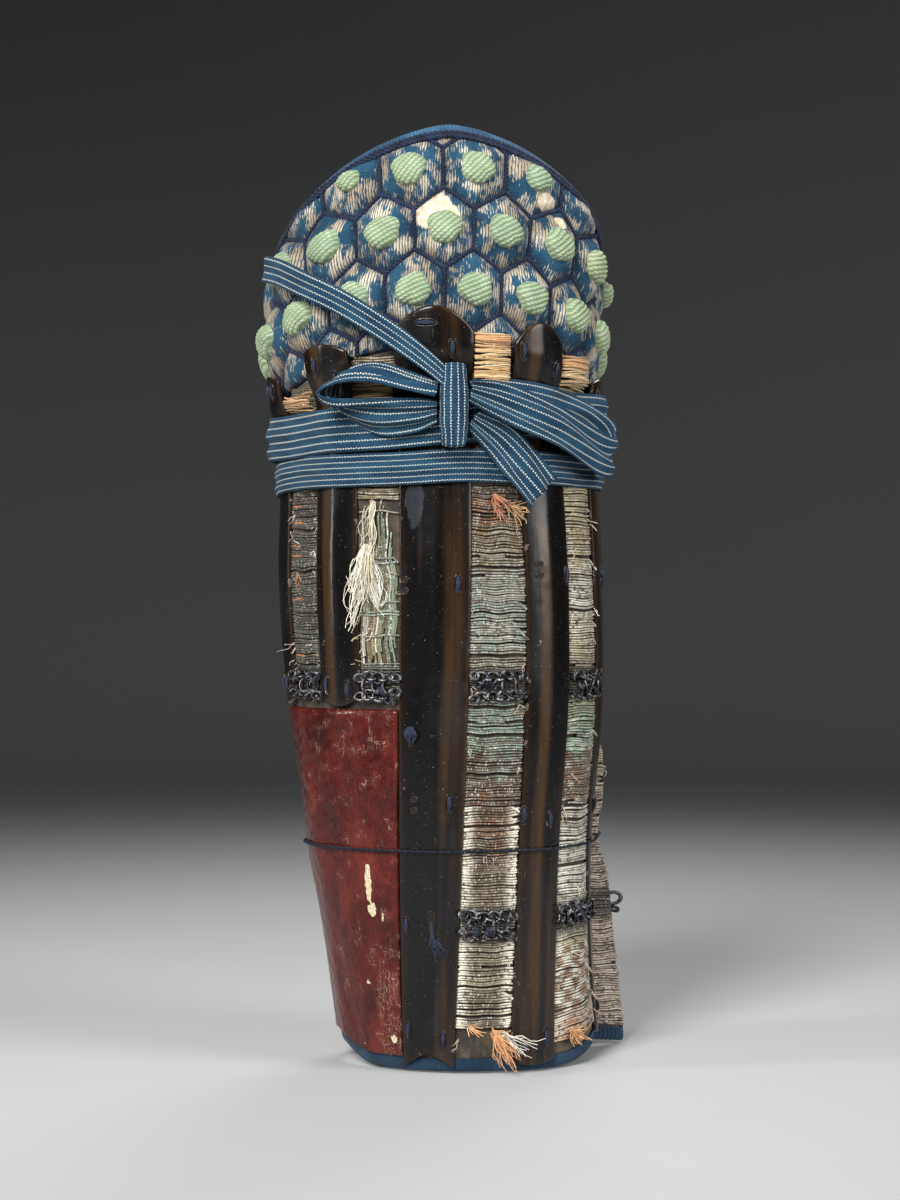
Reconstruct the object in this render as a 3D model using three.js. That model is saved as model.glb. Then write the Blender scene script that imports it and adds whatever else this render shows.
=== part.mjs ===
// A shin guard of Japanese splint armour for the left leg, standing on its hem.
// A base cloth faced with brocade is bent round the shin and stays open behind the calf.
// Five lacquered iron splints, patches of mail and a leather rubbing guard are sewn on its face.
// A quilted knee guard of hexagon cells with silk knots carries on from its top edge.
// A striped ribbon is wound twice below the knee and tied in a bow, a thin cord is tied above the ankle.
// Millimetres, +Z up. The front faces -Y, and the leather on the inner side of the leg is at -X.

import * as THREE from 'three';

const { degToRad, lerp, radToDeg, smoothstep } = THREE.MathUtils;

// Clearance between neighbouring pieces, and the point of the floor that is the part's origin.
const GAP = 0.35;
const ORIGIN = { x: 3, y: -15 };

// The cloth's outer face: how far it reaches to the inner side, outer side, front and back at each height.
const SECTIONS = [
  { z: 0, inner: -40.5, outer: 66.5, front: -48, back: 44 },
  { z: 40, inner: -46.3, outer: 63, front: -51, back: 47 },
  { z: 92, inner: -54.6, outer: 62.2, front: -54, back: 50 },
  { z: 150, inner: -62.5, outer: 67, front: -56.5, back: 53 },
  { z: 200, inner: -66.5, outer: 66.8, front: -58, back: 55 },
  { z: 242, inner: -66, outer: 65, front: -58, back: 55 },
  { z: 282, inner: -66.5, outer: 62.6, front: -59, back: 55 },
  { z: 306, inner: -71, outer: 64, front: -60.5, back: 55 },
  { z: 328, inner: -70.5, outer: 65.6, front: -61.5, back: 55 },
  { z: 355, inner: -67, outer: 67.6, front: -60, back: 54 },
  { z: 395, inner: -60, outer: 63, front: -53, back: 50 },
];

// Shin cloth: angles of its back edges round the leg from the front, wall thickness and hem height.
const CLOTH = { innerEdge: -126, outerEdge: 120, wall: 2.4, hem: 5, rows: 12 };
// The outer back edge has come away from the leg below the calf, further towards the hem, and the cord draws it in a little.
const FLARE = { from: 103, reach: 34, top: 170, rise: 45, taper: 0.0027, pinch: 0.14, pinchReach: 12 };
// Below the outer back splint and below the leather the hem is buckled and stands a little off the floor.
const BUCKLES = [{ at: 88, half: 38, rise: 6 }, { at: -84, half: 42, rise: 6.5 }];
const TAPE = { wide: 5, wall: 3.2, bulge: 0.7 };
const LEATHER = { top: 150, wall: 1.8 };

// Knee guard: height of its seam and peak at the front, half length of its seam, and how its rows drop at the sides.
const KNEE = { seam: 299, peak: 385, half: 147, slope: 1.45, round: 0.44, drop: 22, wall: 2.6 };
// Its hexagon cells: spacing along and between rows, middle of the lowest whole row, the pillow's height, and how much
// wider the cells of the top row are.
const CELL = { pitch: 26.8, row: 25, firstRow: 321.9, shift: 10.2, rim: 3.2, pillow: 4.5, widen: 0.126, widenFrom: 345, widenTo: 375 };
// A silk knot sits on every whole cell and on the larger cut ones: its size, and how far inside the outline it must lie.
const KNOT = { radius: 6.7, stretch: 1.1, shoulder: 2.6, height: 4, sides: 12, margin: 9, cutShare: 0.5, cutMargin: 5 };

// Splints: plate thickness, and how far they stand off where they run up over the knee guard.
const PLATE = { wall: 1.6, standOff: 4.2, standOffFrom: 284, standOffTo: 299, flatRows: 9, rows: 14 };
const SPLINTS = [
  {
    name: 'splint_inner_back', top: 290, bottom: 151, crown: 3, notch: -3, keel: 1, ridge: 2,
    edges: [{ z: 151, left: -98, right: -75 }, { z: 290, left: -97, right: -75 }],
  },
  {
    name: 'splint_inner', top: 300, bottom: 151, crown: 3, notch: -4, keel: 1.5, ridge: 2,
    edges: [{ z: 151, left: -56.5, right: -37.5 }, { z: 300, left: -56, right: -38 }],
  },
  {
    name: 'splint_shin', top: 314.5, bottom: 1.6, crown: 10, notch: 7, keel: 2.4, ridge: 1,
    edges: [{ z: 0, left: -24, right: 2.5 }, { z: 190, left: -20.5, right: 8 }, { z: 314, left: -21, right: 8 }],
  },
  {
    name: 'splint_outer', top: 309, bottom: 2.4, crown: 9, notch: -2, keel: 1.5, ridge: 2,
    edges: [{ z: 0, left: 27.5, right: 47.5 }, { z: 190, left: 31.5, right: 52 }, { z: 309, left: 23, right: 44.5 }],
  },
  {
    name: 'splint_outer_back', top: 289, bottom: 8.4, crown: 3, notch: -2, keel: 1, ridge: 2,
    edges: [{ z: 0, left: 85, right: 100 }, { z: 170, left: 74, right: 97 }, { z: 289, left: 67, right: 90 }],
  },
];

// Mail: the bore of a ring, its sides and wire, and the patches by rows, columns and place between the splints.
const MAIL = { bore: 1.65, sides: 8, wire: 1.2, pitch: 4.9 };
const PATCHES = [
  { name: 'mail_middle_inner_back', from: -73.4, to: -58.2, columns: 3, top: 165, rows: 2 },
  { name: 'mail_middle_inner', from: -36, to: -22.4, columns: 3, top: 165, rows: 2 },
  { name: 'mail_middle_outer', from: 9.6, to: 29, columns: 4, top: 165, rows: 2 },
  { name: 'mail_middle_outer_back', from: 53.6, to: 72, columns: 4, top: 165, rows: 2 },
  { name: 'mail_lower_outer', from: 6.2, to: 26.4, columns: 4, top: 68, rows: 3 },
  { name: 'mail_lower_outer_back', from: 51.4, to: 77.4, columns: 5, top: 68, rows: 2 },
];

// Tie ribbon: its thickness, and the two turns by middle height, tilt towards the outer side, rise at the front and width as it
// shows. The lower one is drawn narrow under the upper one.
const RIBBON = { wall: 1.2 };
const TURNS = [
  { name: 'tie_lower_turn', z: 246.9, tilt: 1, rise: 2.6, wide: 13.6 },
  { name: 'tie_upper_turn', z: 268, tilt: 5, rise: 0, wide: 18.4 },
];
const TIE_KNOT = { at: 0.5, z: 274, halfHeight: 17, halfWide: 5.9, halfDeep: 4, lift: 4.6 };
// Stretches of the bow by angle, height, lift off the wound turns, lean of the width from upright, tip of the
// width's upper edge away from the leg, and width, which is less where the ribbon is gathered or folded.
const BOW = [
  {
    name: 'bow_inner_loop', steps: 26,
    path: [
      { at: -5.4, z: 271.5, lift: 3.4, lean: 0, tip: 8, wide: 9 },
      { at: -13, z: 270, lift: 3.8, lean: 0, tip: 14, wide: 14 },
      { at: -27, z: 269.5, lift: 5.4, lean: 0, tip: 32, wide: 17 },
      { at: -37.5, z: 273, lift: 9.6, lean: 0, tip: 70, wide: 17 },
      { at: -41, z: 279.4, lift: 10.6, lean: 0, tip: 92, wide: 17 },
      { at: -36.5, z: 286, lift: 10.4, lean: 0, tip: 112, wide: 17 },
      { at: -26, z: 287.4, lift: 9.4, lean: 0, tip: 122, wide: 15 },
      { at: -14, z: 283.6, lift: 7.2, lean: 0, tip: 122, wide: 12 },
      { at: -5.4, z: 280.4, lift: 5.2, lean: 0, tip: 118, wide: 8 },
    ],
  },
  {
    name: 'bow_outer_loop', steps: 30,
    path: [
      { at: 6.2, z: 280, lift: 6.6, lean: 12, tip: 0, wide: 9 },
      { at: 16, z: 276.4, lift: 7.6, lean: 18, tip: -6, wide: 15 },
      { at: 30, z: 270, lift: 7.8, lean: 23, tip: -10, wide: 18 },
      { at: 46, z: 262.6, lift: 7.6, lean: 25, tip: -10, wide: 18.4 },
      { at: 60, z: 256.4, lift: 7.4, lean: 25, tip: -6, wide: 18.4 },
      { at: 67.5, z: 255, lift: 7, lean: 24, tip: 0, wide: 18.4 },
      { at: 70.6, z: 258.4, lift: 5, lean: 22, tip: 6, wide: 18.4 },
      { at: 68, z: 263.6, lift: 2.9, lean: 20, tip: 6, wide: 18.4 },
      { at: 58, z: 269.4, lift: 1.9, lean: 16, tip: 2, wide: 18.4 },
      { at: 42, z: 273.6, lift: 1.7, lean: 12, tip: 0, wide: 18 },
      { at: 22, z: 278, lift: 1.7, lean: 8, tip: 0, wide: 15 },
      { at: 6.2, z: 280, lift: 1.8, lean: 4, tip: 0, wide: 9 },
    ],
  },
  {
    name: 'bow_upper_end', steps: 16,
    path: [
      { at: -5.4, z: 288.6, lift: 4, lean: 40, tip: 0, wide: 7.4 },
      { at: -14, z: 297, lift: 5.4, lean: 41, tip: 0, wide: 8.6 },
      { at: -27, z: 308.4, lift: 8, lean: 38, tip: 0, wide: 9.6 },
      { at: -43, z: 320.6, lift: 10, lean: 31, tip: 0, wide: 10.2 },
      { at: -60, z: 329.8, lift: 10.6, lean: 22, tip: 0, wide: 10.6 },
      { at: -70, z: 333.4, lift: 11, lean: 18, tip: 0, wide: 11 },
    ],
  },
  {
    name: 'bow_lower_end', steps: 12,
    path: [
      { at: 7.1, z: 268.4, lift: 4, lean: 38, tip: 0, wide: 8 },
      { at: 17, z: 260.6, lift: 4.1, lean: 42, tip: 0, wide: 15 },
      { at: 25.4, z: 250.6, lift: 4.2, lean: 46, tip: 0, wide: 18.4 },
      { at: 33.4, z: 239.4, lift: 4.6, lean: 48, tip: 0, wide: 18.4 },
    ],
  },
];

const CORD = { z: 92, radius: 0.75, sides: 8 };

const materials = {
  brocade: new THREE.MeshStandardMaterial({ color: '#8a7a4a', roughness: 0.7, metalness: 0.15 }),
  tape: new THREE.MeshStandardMaterial({ color: '#33486b', roughness: 0.9, metalness: 0 }),
  leather: new THREE.MeshStandardMaterial({ color: '#6e2a1c', roughness: 0.45, metalness: 0 }),
  quilt: new THREE.MeshStandardMaterial({ color: '#6c7f9c', roughness: 0.9, metalness: 0 }),
  lacquer: new THREE.MeshStandardMaterial({ color: '#1d1512', roughness: 0.28, metalness: 0.2 }),
  mail: new THREE.MeshStandardMaterial({ color: '#2b2725', roughness: 0.5, metalness: 0.8 }),
  ribbon: new THREE.MeshStandardMaterial({ color: '#27324c', roughness: 0.85, metalness: 0 }),
  cord: new THREE.MeshStandardMaterial({ color: '#14161f', roughness: 0.9, metalness: 0 }),
};

// A column of a table at a place between its rows, along a smooth curve through them.
function reading(rows, key, at, column) {
  const last = rows.length - 1;
  if (at <= rows[0][key]) {
    return rows[0][column];
  }
  if (at >= rows[last][key]) {
    return rows[last][column];
  }
  const i = rows.findIndex((row) => row[key] > at) - 1;
  const span = rows[i + 1][key] - rows[i][key];
  const slope = (n) => {
    const before = rows[Math.max(n - 1, 0)];
    const after = rows[Math.min(n + 1, last)];
    return ((after[column] - before[column]) / (after[key] - before[key])) * span;
  };
  const t = (at - rows[i][key]) / span;
  const start = rows[i][column];
  const rise = rows[i + 1][column] - start;
  const bend = (1 - t) * (slope(i) - rise) + t * (rise - slope(i + 1));
  return start + rise * t + t * (1 - t) * bend;
}

// How far the loose outer back edge stands away from the leg.
function flare(angle, z) {
  const spread = smoothstep(angle, FLARE.from, CLOTH.outerEdge + 4);
  const height = smoothstep(FLARE.top - z, 0, FLARE.rise);
  const drawnIn = FLARE.pinch * Math.exp(-(((z - CORD.z) / FLARE.pinchReach) ** 2));
  return FLARE.reach * spread * height * (1 - FLARE.taper * z) * (1 - drawnIn);
}

// A place on the cloth's outer face, moved out from it: the angle is in degrees round the leg from the front.
function clothPoint(angle, z, out = 0) {
  const inner = reading(SECTIONS, 'z', z, 'inner');
  const outer = reading(SECTIONS, 'z', z, 'outer');
  const sin = Math.sin(degToRad(angle));
  const cos = Math.cos(degToRad(angle));
  const depth = cos > 0 ? -reading(SECTIONS, 'z', z, 'front') : reading(SECTIONS, 'z', z, 'back');
  const middle = (inner + outer) / 2;
  const a = (outer - inner) / 2 + out;
  const b = depth + out;
  const square = (sin / a) ** 2 + (cos / b) ** 2;
  const cross = (sin * middle) / a ** 2;
  const reach = (cross + Math.sqrt(cross ** 2 + square * (1 - (middle / a) ** 2))) / square;
  return new THREE.Vector3(reach * sin + flare(angle, z), -reach * cos, z);
}

// One closed body from points and triangles, with its faces turned outwards.
function body(points, faces) {
  const volume = faces.reduce((sum, [a, b, c]) => {
    return sum + points[a].dot(new THREE.Vector3().crossVectors(points[b], points[c]));
  }, 0);
  const outward = volume > 0 ? faces : faces.map(([a, b, c]) => [a, c, b]);
  const geometry = new THREE.BufferGeometry();
  geometry.setAttribute('position', new THREE.Float32BufferAttribute(points.flatMap((p) => p.toArray()), 3));
  geometry.setIndex(outward.flat());
  return geometry;
}

// A wall of cloth, leather or plate: u runs along it, v across it, and side is 0 on its face and 1 on its back.
function wall(along, across, place, closed = false) {
  const columns = closed ? along : along + 1;
  const points = [];
  for (const side of [0, 1]) {
    for (let i = 0; i < columns; i += 1) {
      for (let j = 0; j <= across; j += 1) {
        points.push(place(i / along, j / across, side));
      }
    }
  }
  const index = (i, j, side) => (side * columns + (i % columns)) * (across + 1) + j;
  const faces = [];
  const quad = (a, b, c, d) => faces.push([a, b, c], [a, c, d]);
  for (let i = 0; i < along; i += 1) {
    for (let j = 0; j < across; j += 1) {
      quad(index(i, j, 0), index(i + 1, j, 0), index(i + 1, j + 1, 0), index(i, j + 1, 0));
      quad(index(i, j, 1), index(i, j + 1, 1), index(i + 1, j + 1, 1), index(i + 1, j, 1));
    }
    quad(index(i, 0, 0), index(i, 0, 1), index(i + 1, 0, 1), index(i + 1, 0, 0));
    quad(index(i, across, 0), index(i + 1, across, 0), index(i + 1, across, 1), index(i, across, 1));
  }
  if (!closed) {
    for (let j = 0; j < across; j += 1) {
      quad(index(0, j, 0), index(0, j + 1, 0), index(0, j + 1, 1), index(0, j, 1));
      quad(index(along, j, 0), index(along, j, 1), index(along, j + 1, 1), index(along, j + 1, 0));
    }
  }
  return body(points, faces);
}

const armour = new THREE.Group();
armour.position.set(-ORIGIN.x, -ORIGIN.y, 0);

function sew(name, geometry, material) {
  geometry.computeVertexNormals();
  const piece = new THREE.Mesh(geometry, material);
  piece.name = name;
  armour.add(piece);
}

const kneeDrop = (angle) => KNEE.drop * (1 - Math.cos(degToRad(angle)));
const clothTop = (angle) => KNEE.seam - 0.5 - kneeDrop(angle);
const buckle = (angle) => Math.max(...BUCKLES.map(({ at, half, rise }) => {
  const share = Math.min(Math.abs(angle - at) / half, 1);
  return rise * Math.cos((Math.PI / 2) * share) ** 2;
}));
const clothFoot = (angle) => CLOTH.hem + GAP + buckle(angle);

// Shin cloth and the tape round its hem and back edges.
sew('shin_cloth', wall(40, CLOTH.rows, (u, v, side) => {
  const angle = lerp(CLOTH.innerEdge, CLOTH.outerEdge, u);
  return clothPoint(angle, lerp(clothFoot(angle), clothTop(angle), v), -side * CLOTH.wall);
}), materials.brocade);

sew('hem_binding', wall(36, 2, (u, v, side) => {
  const angle = lerp(CLOTH.innerEdge - 5, CLOTH.outerEdge + 5, u);
  const hollow = v === 0.5 ? 0 : TAPE.bulge;
  return clothPoint(angle, buckle(angle) + CLOTH.hem * v, side ? -TAPE.wall : -hollow);
}), materials.tape);

for (const edge of [
  { name: 'back_binding_inner', at: CLOTH.innerEdge, way: -1 },
  { name: 'back_binding_outer', at: CLOTH.outerEdge, way: 1 },
]) {
  sew(edge.name, wall(CLOTH.rows, 2, (u, v, side) => {
    const step = radToDeg((GAP + TAPE.wide * v) / 56);
    const angle = edge.at + edge.way * step;
    const face = v === 0.5 ? TAPE.bulge : 0;
    return clothPoint(angle, lerp(clothFoot(angle), clothTop(angle), u), side ? -TAPE.wall : face);
  }), materials.tape);
}

// Leather guard, from the inner back edge to the shin splint.
const shin = SPLINTS.find((splint) => splint.name === 'splint_shin');
sew('leather_guard', wall(16, 8, (u, v, side) => {
  const foot = clothFoot(lerp(CLOTH.innerEdge + 0.6, shin.edges[0].left - 0.6, u)) + GAP;
  const z = lerp(foot, LEATHER.top, v);
  const angle = lerp(CLOTH.innerEdge + 0.6, reading(shin.edges, 'z', z, 'left') - 0.6, u);
  return clothPoint(angle, z, GAP + (1 - side) * LEATHER.wall);
}), materials.leather);

// Knee guard: places on it go by the length along its seam and the height of its rows at the front.
function kneePoint(along, height, out) {
  const radius = (reading(SECTIONS, 'z', height, 'outer') - reading(SECTIONS, 'z', height, 'inner')) / 2 + 2;
  const angle = radToDeg(along / radius);
  return clothPoint(angle, height - kneeDrop(angle), out);
}

function kneeTop(along) {
  const share = Math.min(Math.abs(along) / KNEE.half, 1) ** KNEE.slope;
  return KNEE.seam + (KNEE.peak - KNEE.seam) * (1 - share) ** KNEE.round;
}

// Its outline, anticlockwise from the inner corner of the seam.
const kneeOutline = [];
for (let i = -24; i <= 24; i += 1) {
  const along = -KNEE.half * Math.sin((Math.PI / 2) * (i / 24));
  kneeOutline.push(new THREE.Vector2(along, kneeTop(along)));
}

function cutByLine(polygon, from, to) {
  const side = (p) => (to.x - from.x) * (p.y - from.y) - (to.y - from.y) * (p.x - from.x);
  const kept = [];
  polygon.forEach((p, i) => {
    const q = polygon[(i + 1) % polygon.length];
    const a = side(p);
    const b = side(q);
    if (a >= 0) {
      kept.push(p);
    }
    if (a * b < 0) {
      kept.push(p.clone().lerp(q, a / (a - b)));
    }
  });
  return kept;
}

function cutToOutline(polygon) {
  return kneeOutline.reduce((kept, from, i) => {
    return cutByLine(kept, from, kneeOutline[(i + 1) % kneeOutline.length]);
  }, polygon);
}

// A corner of a cell, with steps after it where the cell's next edge lies along the seam.
function seamSteps(p, q) {
  const onSeam = Math.max(p.y, q.y) - KNEE.seam < 0.001;
  return onSeam ? [p, p.clone().lerp(q, 1 / 3), p.clone().lerp(q, 2 / 3)] : [p];
}

function marginInside(p) {
  return Math.min(...kneeOutline.map((from, i) => {
    const to = kneeOutline[(i + 1) % kneeOutline.length];
    const edge = to.clone().sub(from);
    return edge.cross(p.clone().sub(from)) / edge.length();
  }));
}

// A corner or middle of a cell, moved sideways where the rows widen.
function widened(p) {
  return new THREE.Vector2(p.x * (1 + CELL.widen * smoothstep(p.y, CELL.widenFrom, CELL.widenTo)), p.y);
}

function kneeGuard() {
  const points = [];
  const faces = [];
  const shared = new Map();
  const rims = new Map();
  const add = (along, height, out) => points.push(kneePoint(along, height, out)) - 1;
  const settled = [];
  const settle = (p) => {
    const near = settled.findIndex((q) => q.distanceTo(p) < 0.1);
    return near < 0 ? settled[settled.push(p) - 1] : settled[near];
  };
  const corner = (p, out) => {
    const key = `${settled.indexOf(p)} ${out}`;
    if (!shared.has(key)) {
      shared.set(key, add(p.x, p.y, out));
    }
    return shared.get(key);
  };
  const band = (lower, upper) => lower.forEach((a, i) => {
    const next = (i + 1) % lower.length;
    faces.push([a, lower[next], upper[next]], [a, upper[next], upper[i]]);
  });
  const fan = (ring, top) => ring.forEach((a, i) => faces.push([a, ring[(i + 1) % ring.length], top]));

  for (let row = -1; row <= 3; row += 1) {
    for (let column = -7; column <= 7; column += 1) {
      const height = CELL.firstRow + CELL.row * row;
      const grid = new THREE.Vector2(CELL.shift + CELL.pitch * (column - Math.abs(row % 2) / 2), height);
      const middle = widened(grid);
      const hexagon = [];
      for (let i = 0; i < 6; i += 1) {
        const turn = degToRad(60 * i + 30);
        const reach = new THREE.Vector2(CELL.pitch / 1.732 * Math.cos(turn), CELL.row / 1.5 * Math.sin(turn));
        hexagon.push(widened(grid.clone().add(reach)));
      }
      const cell = cutToOutline(hexagon)
        .flatMap((p, i, all) => seamSteps(p, all[(i + 1) % all.length]))
        .map(settle)
        .filter((p, i, all) => p !== all[(i + 1) % all.length]);
      const area = cell.length > 2 ? THREE.ShapeUtils.area(cell) : 0;
      if (area > 6) {
        const share = Math.sqrt(area / (CELL.pitch * CELL.row));
        const whole = share > 0.8 && marginInside(middle) > KNOT.margin;
        const centre = whole ? middle : cell.reduce((sum, p) => sum.add(p), new THREE.Vector2()).divideScalar(cell.length);
        const inset = (size, out) => cell.map((p) => {
          const q = centre.clone().lerp(p, size);
          return add(q.x, q.y, out * Math.min(share, 1));
        });
        const groove = cell.map((p) => corner(p, 0));
        const back = cell.map((p) => corner(p, -KNEE.wall));
        const rim = inset(0.84, CELL.rim);
        band(groove, rim);
        fan([...back].reverse(), add(centre.x, centre.y, -KNEE.wall));
        if (whole && cell.length === 6) {
          const pillow = inset(0.58, CELL.pillow);
          band(rim, pillow);
          const ring = (radius, out) => Array.from({ length: KNOT.sides }, (_, i) => {
            const turn = degToRad(30 + (360 / KNOT.sides) * i);
            return add(centre.x + KNOT.stretch * radius * Math.cos(turn), centre.y + radius * Math.sin(turn), out);
          });
          const foot = ring(KNOT.radius, CELL.pillow);
          const start = cell.findIndex((p) => p.distanceTo(hexagon[0]) < 0.01);
          pillow.forEach((_, i) => {
            const a = pillow[(start + i) % 6];
            const b = pillow[(start + i + 1) % 6];
            const knot = [0, 1, 2].map((n) => foot[(2 * i + n) % KNOT.sides]);
            faces.push([a, knot[1], knot[0]], [a, b, knot[1]], [b, knot[2], knot[1]]);
          });
          const shoulder = ring(KNOT.radius * 0.9, CELL.pillow + KNOT.shoulder);
          band(foot, shoulder);
          fan(shoulder, add(centre.x, centre.y, CELL.pillow + KNOT.height));
        } else if (share > KNOT.cutShare && marginInside(centre) > KNOT.cutMargin && height >= CELL.firstRow) {
          const pillow = CELL.pillow * Math.min(share, 1);
          const ring = (size, out) => cell.map((p) => {
            const spoke = p.clone().sub(centre);
            const q = centre.clone().addScaledVector(spoke, Math.min(KNOT.radius / spoke.length(), 0.66) * size);
            return add(q.x, q.y, out);
          });
          const foot = ring(1, pillow);
          const shoulder = ring(0.9, pillow + KNOT.shoulder);
          band(rim, foot);
          band(foot, shoulder);
          fan(shoulder, add(centre.x, centre.y, pillow + KNOT.height));
        } else {
          fan(rim, add(centre.x, centre.y, CELL.pillow * Math.min(share, 1)));
        }
        groove.forEach((a, i) => {
          const next = (i + 1) % groove.length;
          const other = `${groove[next]} ${a}`;
          if (rims.has(other)) {
            rims.delete(other);
          } else {
            rims.set(`${a} ${groove[next]}`, [a, groove[next], back[next], back[i]]);
          }
        });
      }
    }
  }
  for (const [a, b, c, d] of rims.values()) {
    faces.push([a, c, b], [a, d, c]);
  }
  return body(points, faces);
}
sew('knee_guard', kneeGuard(), materials.quilt);

// Tape along the knee guard's arched top edge.
sew('knee_binding', wall(44, 2, (u, v, side) => {
  const along = KNEE.half * 0.995 * Math.sin((Math.PI / 2) * (2 * u - 1));
  const step = 0.5;
  const run = new THREE.Vector2(2 * step, kneeTop(along + step) - kneeTop(along - step)).normalize();
  const edge = GAP + TAPE.wide * v;
  const face = v === 0.5 ? TAPE.bulge + 1 : 0.6;
  return kneePoint(along - run.y * edge, kneeTop(along) + run.x * edge, side ? -TAPE.wall : face);
}), materials.tape);

// Splints: the plate follows the cloth and stands off over the knee guard.
const standOff = (angle, z) => {
  const row = z + kneeDrop(angle);
  return GAP + PLATE.standOff * smoothstep(row, PLATE.standOffFrom, PLATE.standOffTo);
};

function splintAngle(splint, share, z) {
  return lerp(reading(splint.edges, 'z', z, 'left'), reading(splint.edges, 'z', z, 'right'), share);
}

const splintKeel = (splint, share) => splint.keel * (1 - Math.abs(2 * share - 1) ** splint.ridge);

for (const splint of SPLINTS) {
  const bend = PLATE.standOffFrom - kneeDrop(splintAngle(splint, 0.5, splint.top));
  const flat = PLATE.flatRows / PLATE.rows;
  sew(splint.name, wall(6, PLATE.rows, (u, v, side) => {
    const edge = (2 * u - 1) ** 2;
    const low = splint.bottom + splint.notch * (splint.notch > 0 ? 1 - Math.abs(2 * u - 1) : -edge);
    const high = splint.top - splint.crown * edge;
    const z = v < flat ? lerp(low, bend, v / flat) : lerp(bend, high, (v - flat) / (1 - flat));
    const angle = splintAngle(splint, u, z);
    return clothPoint(angle, z, standOff(angle, z) + splintKeel(splint, u) + (1 - side) * PLATE.wall);
  }), materials.lacquer);
}

// Mail patches: rings joined side by side, a bore through each.
function mailPatch(patch) {
  const points = [];
  const faces = [];
  const shared = new Map();
  const place = (column, row, side) => {
    const angle = lerp(patch.from, patch.to, column / patch.columns);
    return clothPoint(angle, patch.top - MAIL.pitch * row, GAP + (1 - side) * MAIL.wire);
  };
  const corner = (column, row, side) => {
    const key = `${column} ${row} ${side}`;
    if (!shared.has(key)) {
      shared.set(key, points.push(place(column, row, side)) - 1);
    }
    return shared.get(key);
  };
  const quad = (a, b, c, d) => faces.push([a, b, c], [a, c, d]);
  for (let row = 0; row < patch.rows; row += 1) {
    for (let column = 0; column < patch.columns; column += 1) {
      const sides = [0, 1].map((side) => {
        const frame = [[1, 0], [0, 0], [0, 1], [1, 1]].map(([x, y]) => corner(column + x, row + y, side));
        const bore = Array.from({ length: MAIL.sides }, (_, i) => {
          const turn = (Math.PI * (2 * i + 1)) / MAIL.sides;
          const share = MAIL.bore / MAIL.pitch;
          const at = [column + 0.5 + share * Math.cos(turn), row + 0.5 - share * Math.sin(turn)];
          return points.push(place(...at, side)) - 1;
        });
        return { frame, bore };
      });
      sides.forEach(({ frame, bore }, side) => frame.forEach((a, i) => {
        const b = frame[(i + 1) % 4];
        const [first, second, third] = [0, 1, 2].map((n) => bore[(2 * i + n) % MAIL.sides]);
        const ring = [[a, second, first], [a, b, second], [b, third, second]];
        ring.forEach(([p, q, r]) => faces.push(side ? [p, r, q] : [p, q, r]));
      }));
      const [face, back] = sides;
      face.bore.forEach((a, i) => {
        const next = (i + 1) % MAIL.sides;
        quad(a, face.bore[next], back.bore[next], back.bore[i]);
      });
      const edges = [row === 0, column === 0, row === patch.rows - 1, column === patch.columns - 1];
      edges.forEach((outside, i) => {
        const next = (i + 1) % 4;
        if (outside) {
          quad(face.frame[next], face.frame[i], back.frame[i], back.frame[next]);
        }
      });
    }
  }
  return body(points, faces);
}

for (const patch of PATCHES) {
  sew(patch.name, mailPatch(patch), materials.mail);
}

// The outermost face at a place on the leg, for what is wound round everything.
function cover(angle, z) {
  const row = z + kneeDrop(angle);
  const plates = SPLINTS.map((splint) => {
    const share = (angle - splintAngle(splint, 0, z)) / (splintAngle(splint, 1, z) - splintAngle(splint, 0, z));
    const onPlate = share > -0.03 && share < 1.03 && z > splint.bottom && z < splint.top;
    return onPlate ? standOff(angle, z) + splintKeel(splint, share) + PLATE.wall : 0;
  });
  const leather = z < LEATHER.top && angle < reading(shin.edges, 'z', z, 'left') ? GAP + LEATHER.wall : 0;
  const quilt = row > KNEE.seam - 1 ? CELL.pillow + 0.4 : 0;
  return Math.max(TAPE.bulge, leather, quilt, ...plates);
}

// The taut line round the leg over a band of heights, as points in order round it.
function tautLine(heightAt, halfWide, clear) {
  const marks = [];
  for (let angle = CLOTH.innerEdge - 5.6; angle <= CLOTH.outerEdge + 5.6; angle += 1.4) {
    for (const share of [-1, -0.5, 0, 0.5, 1]) {
      const z = heightAt(angle) + halfWide * share;
      const p = clothPoint(angle, z, cover(angle, z) + clear);
      marks.push(new THREE.Vector2(p.x, p.y));
    }
  }
  marks.sort((p, q) => p.x - q.x || p.y - q.y);
  const chain = (list) => list.reduce((kept, p) => {
    while (kept.length > 1) {
      const a = kept[kept.length - 2];
      const b = kept[kept.length - 1];
      if (b.clone().sub(a).cross(p.clone().sub(a)) > 0) {
        break;
      }
      kept.pop();
    }
    kept.push(p);
    return kept;
  }, []);
  const low = chain(marks);
  const high = chain([...marks].reverse());
  return [...low.slice(0, -1), ...high.slice(0, -1)];
}

// Distance from the middle of the leg to a taut line, at an angle round the leg from the front.
function reachOf(line, angle) {
  const way = new THREE.Vector2(Math.sin(degToRad(angle)), -Math.cos(degToRad(angle)));
  let reach = 0;
  line.forEach((p, i) => {
    const q = line[(i + 1) % line.length];
    const edge = q.clone().sub(p);
    const across = way.cross(edge);
    const share = p.cross(way) / across;
    const distance = p.cross(edge) / across;
    if (distance > 0 && share >= -1e-9 && share <= 1 + 1e-9) {
      reach = Math.max(reach, distance);
    }
  });
  return reach;
}

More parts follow.
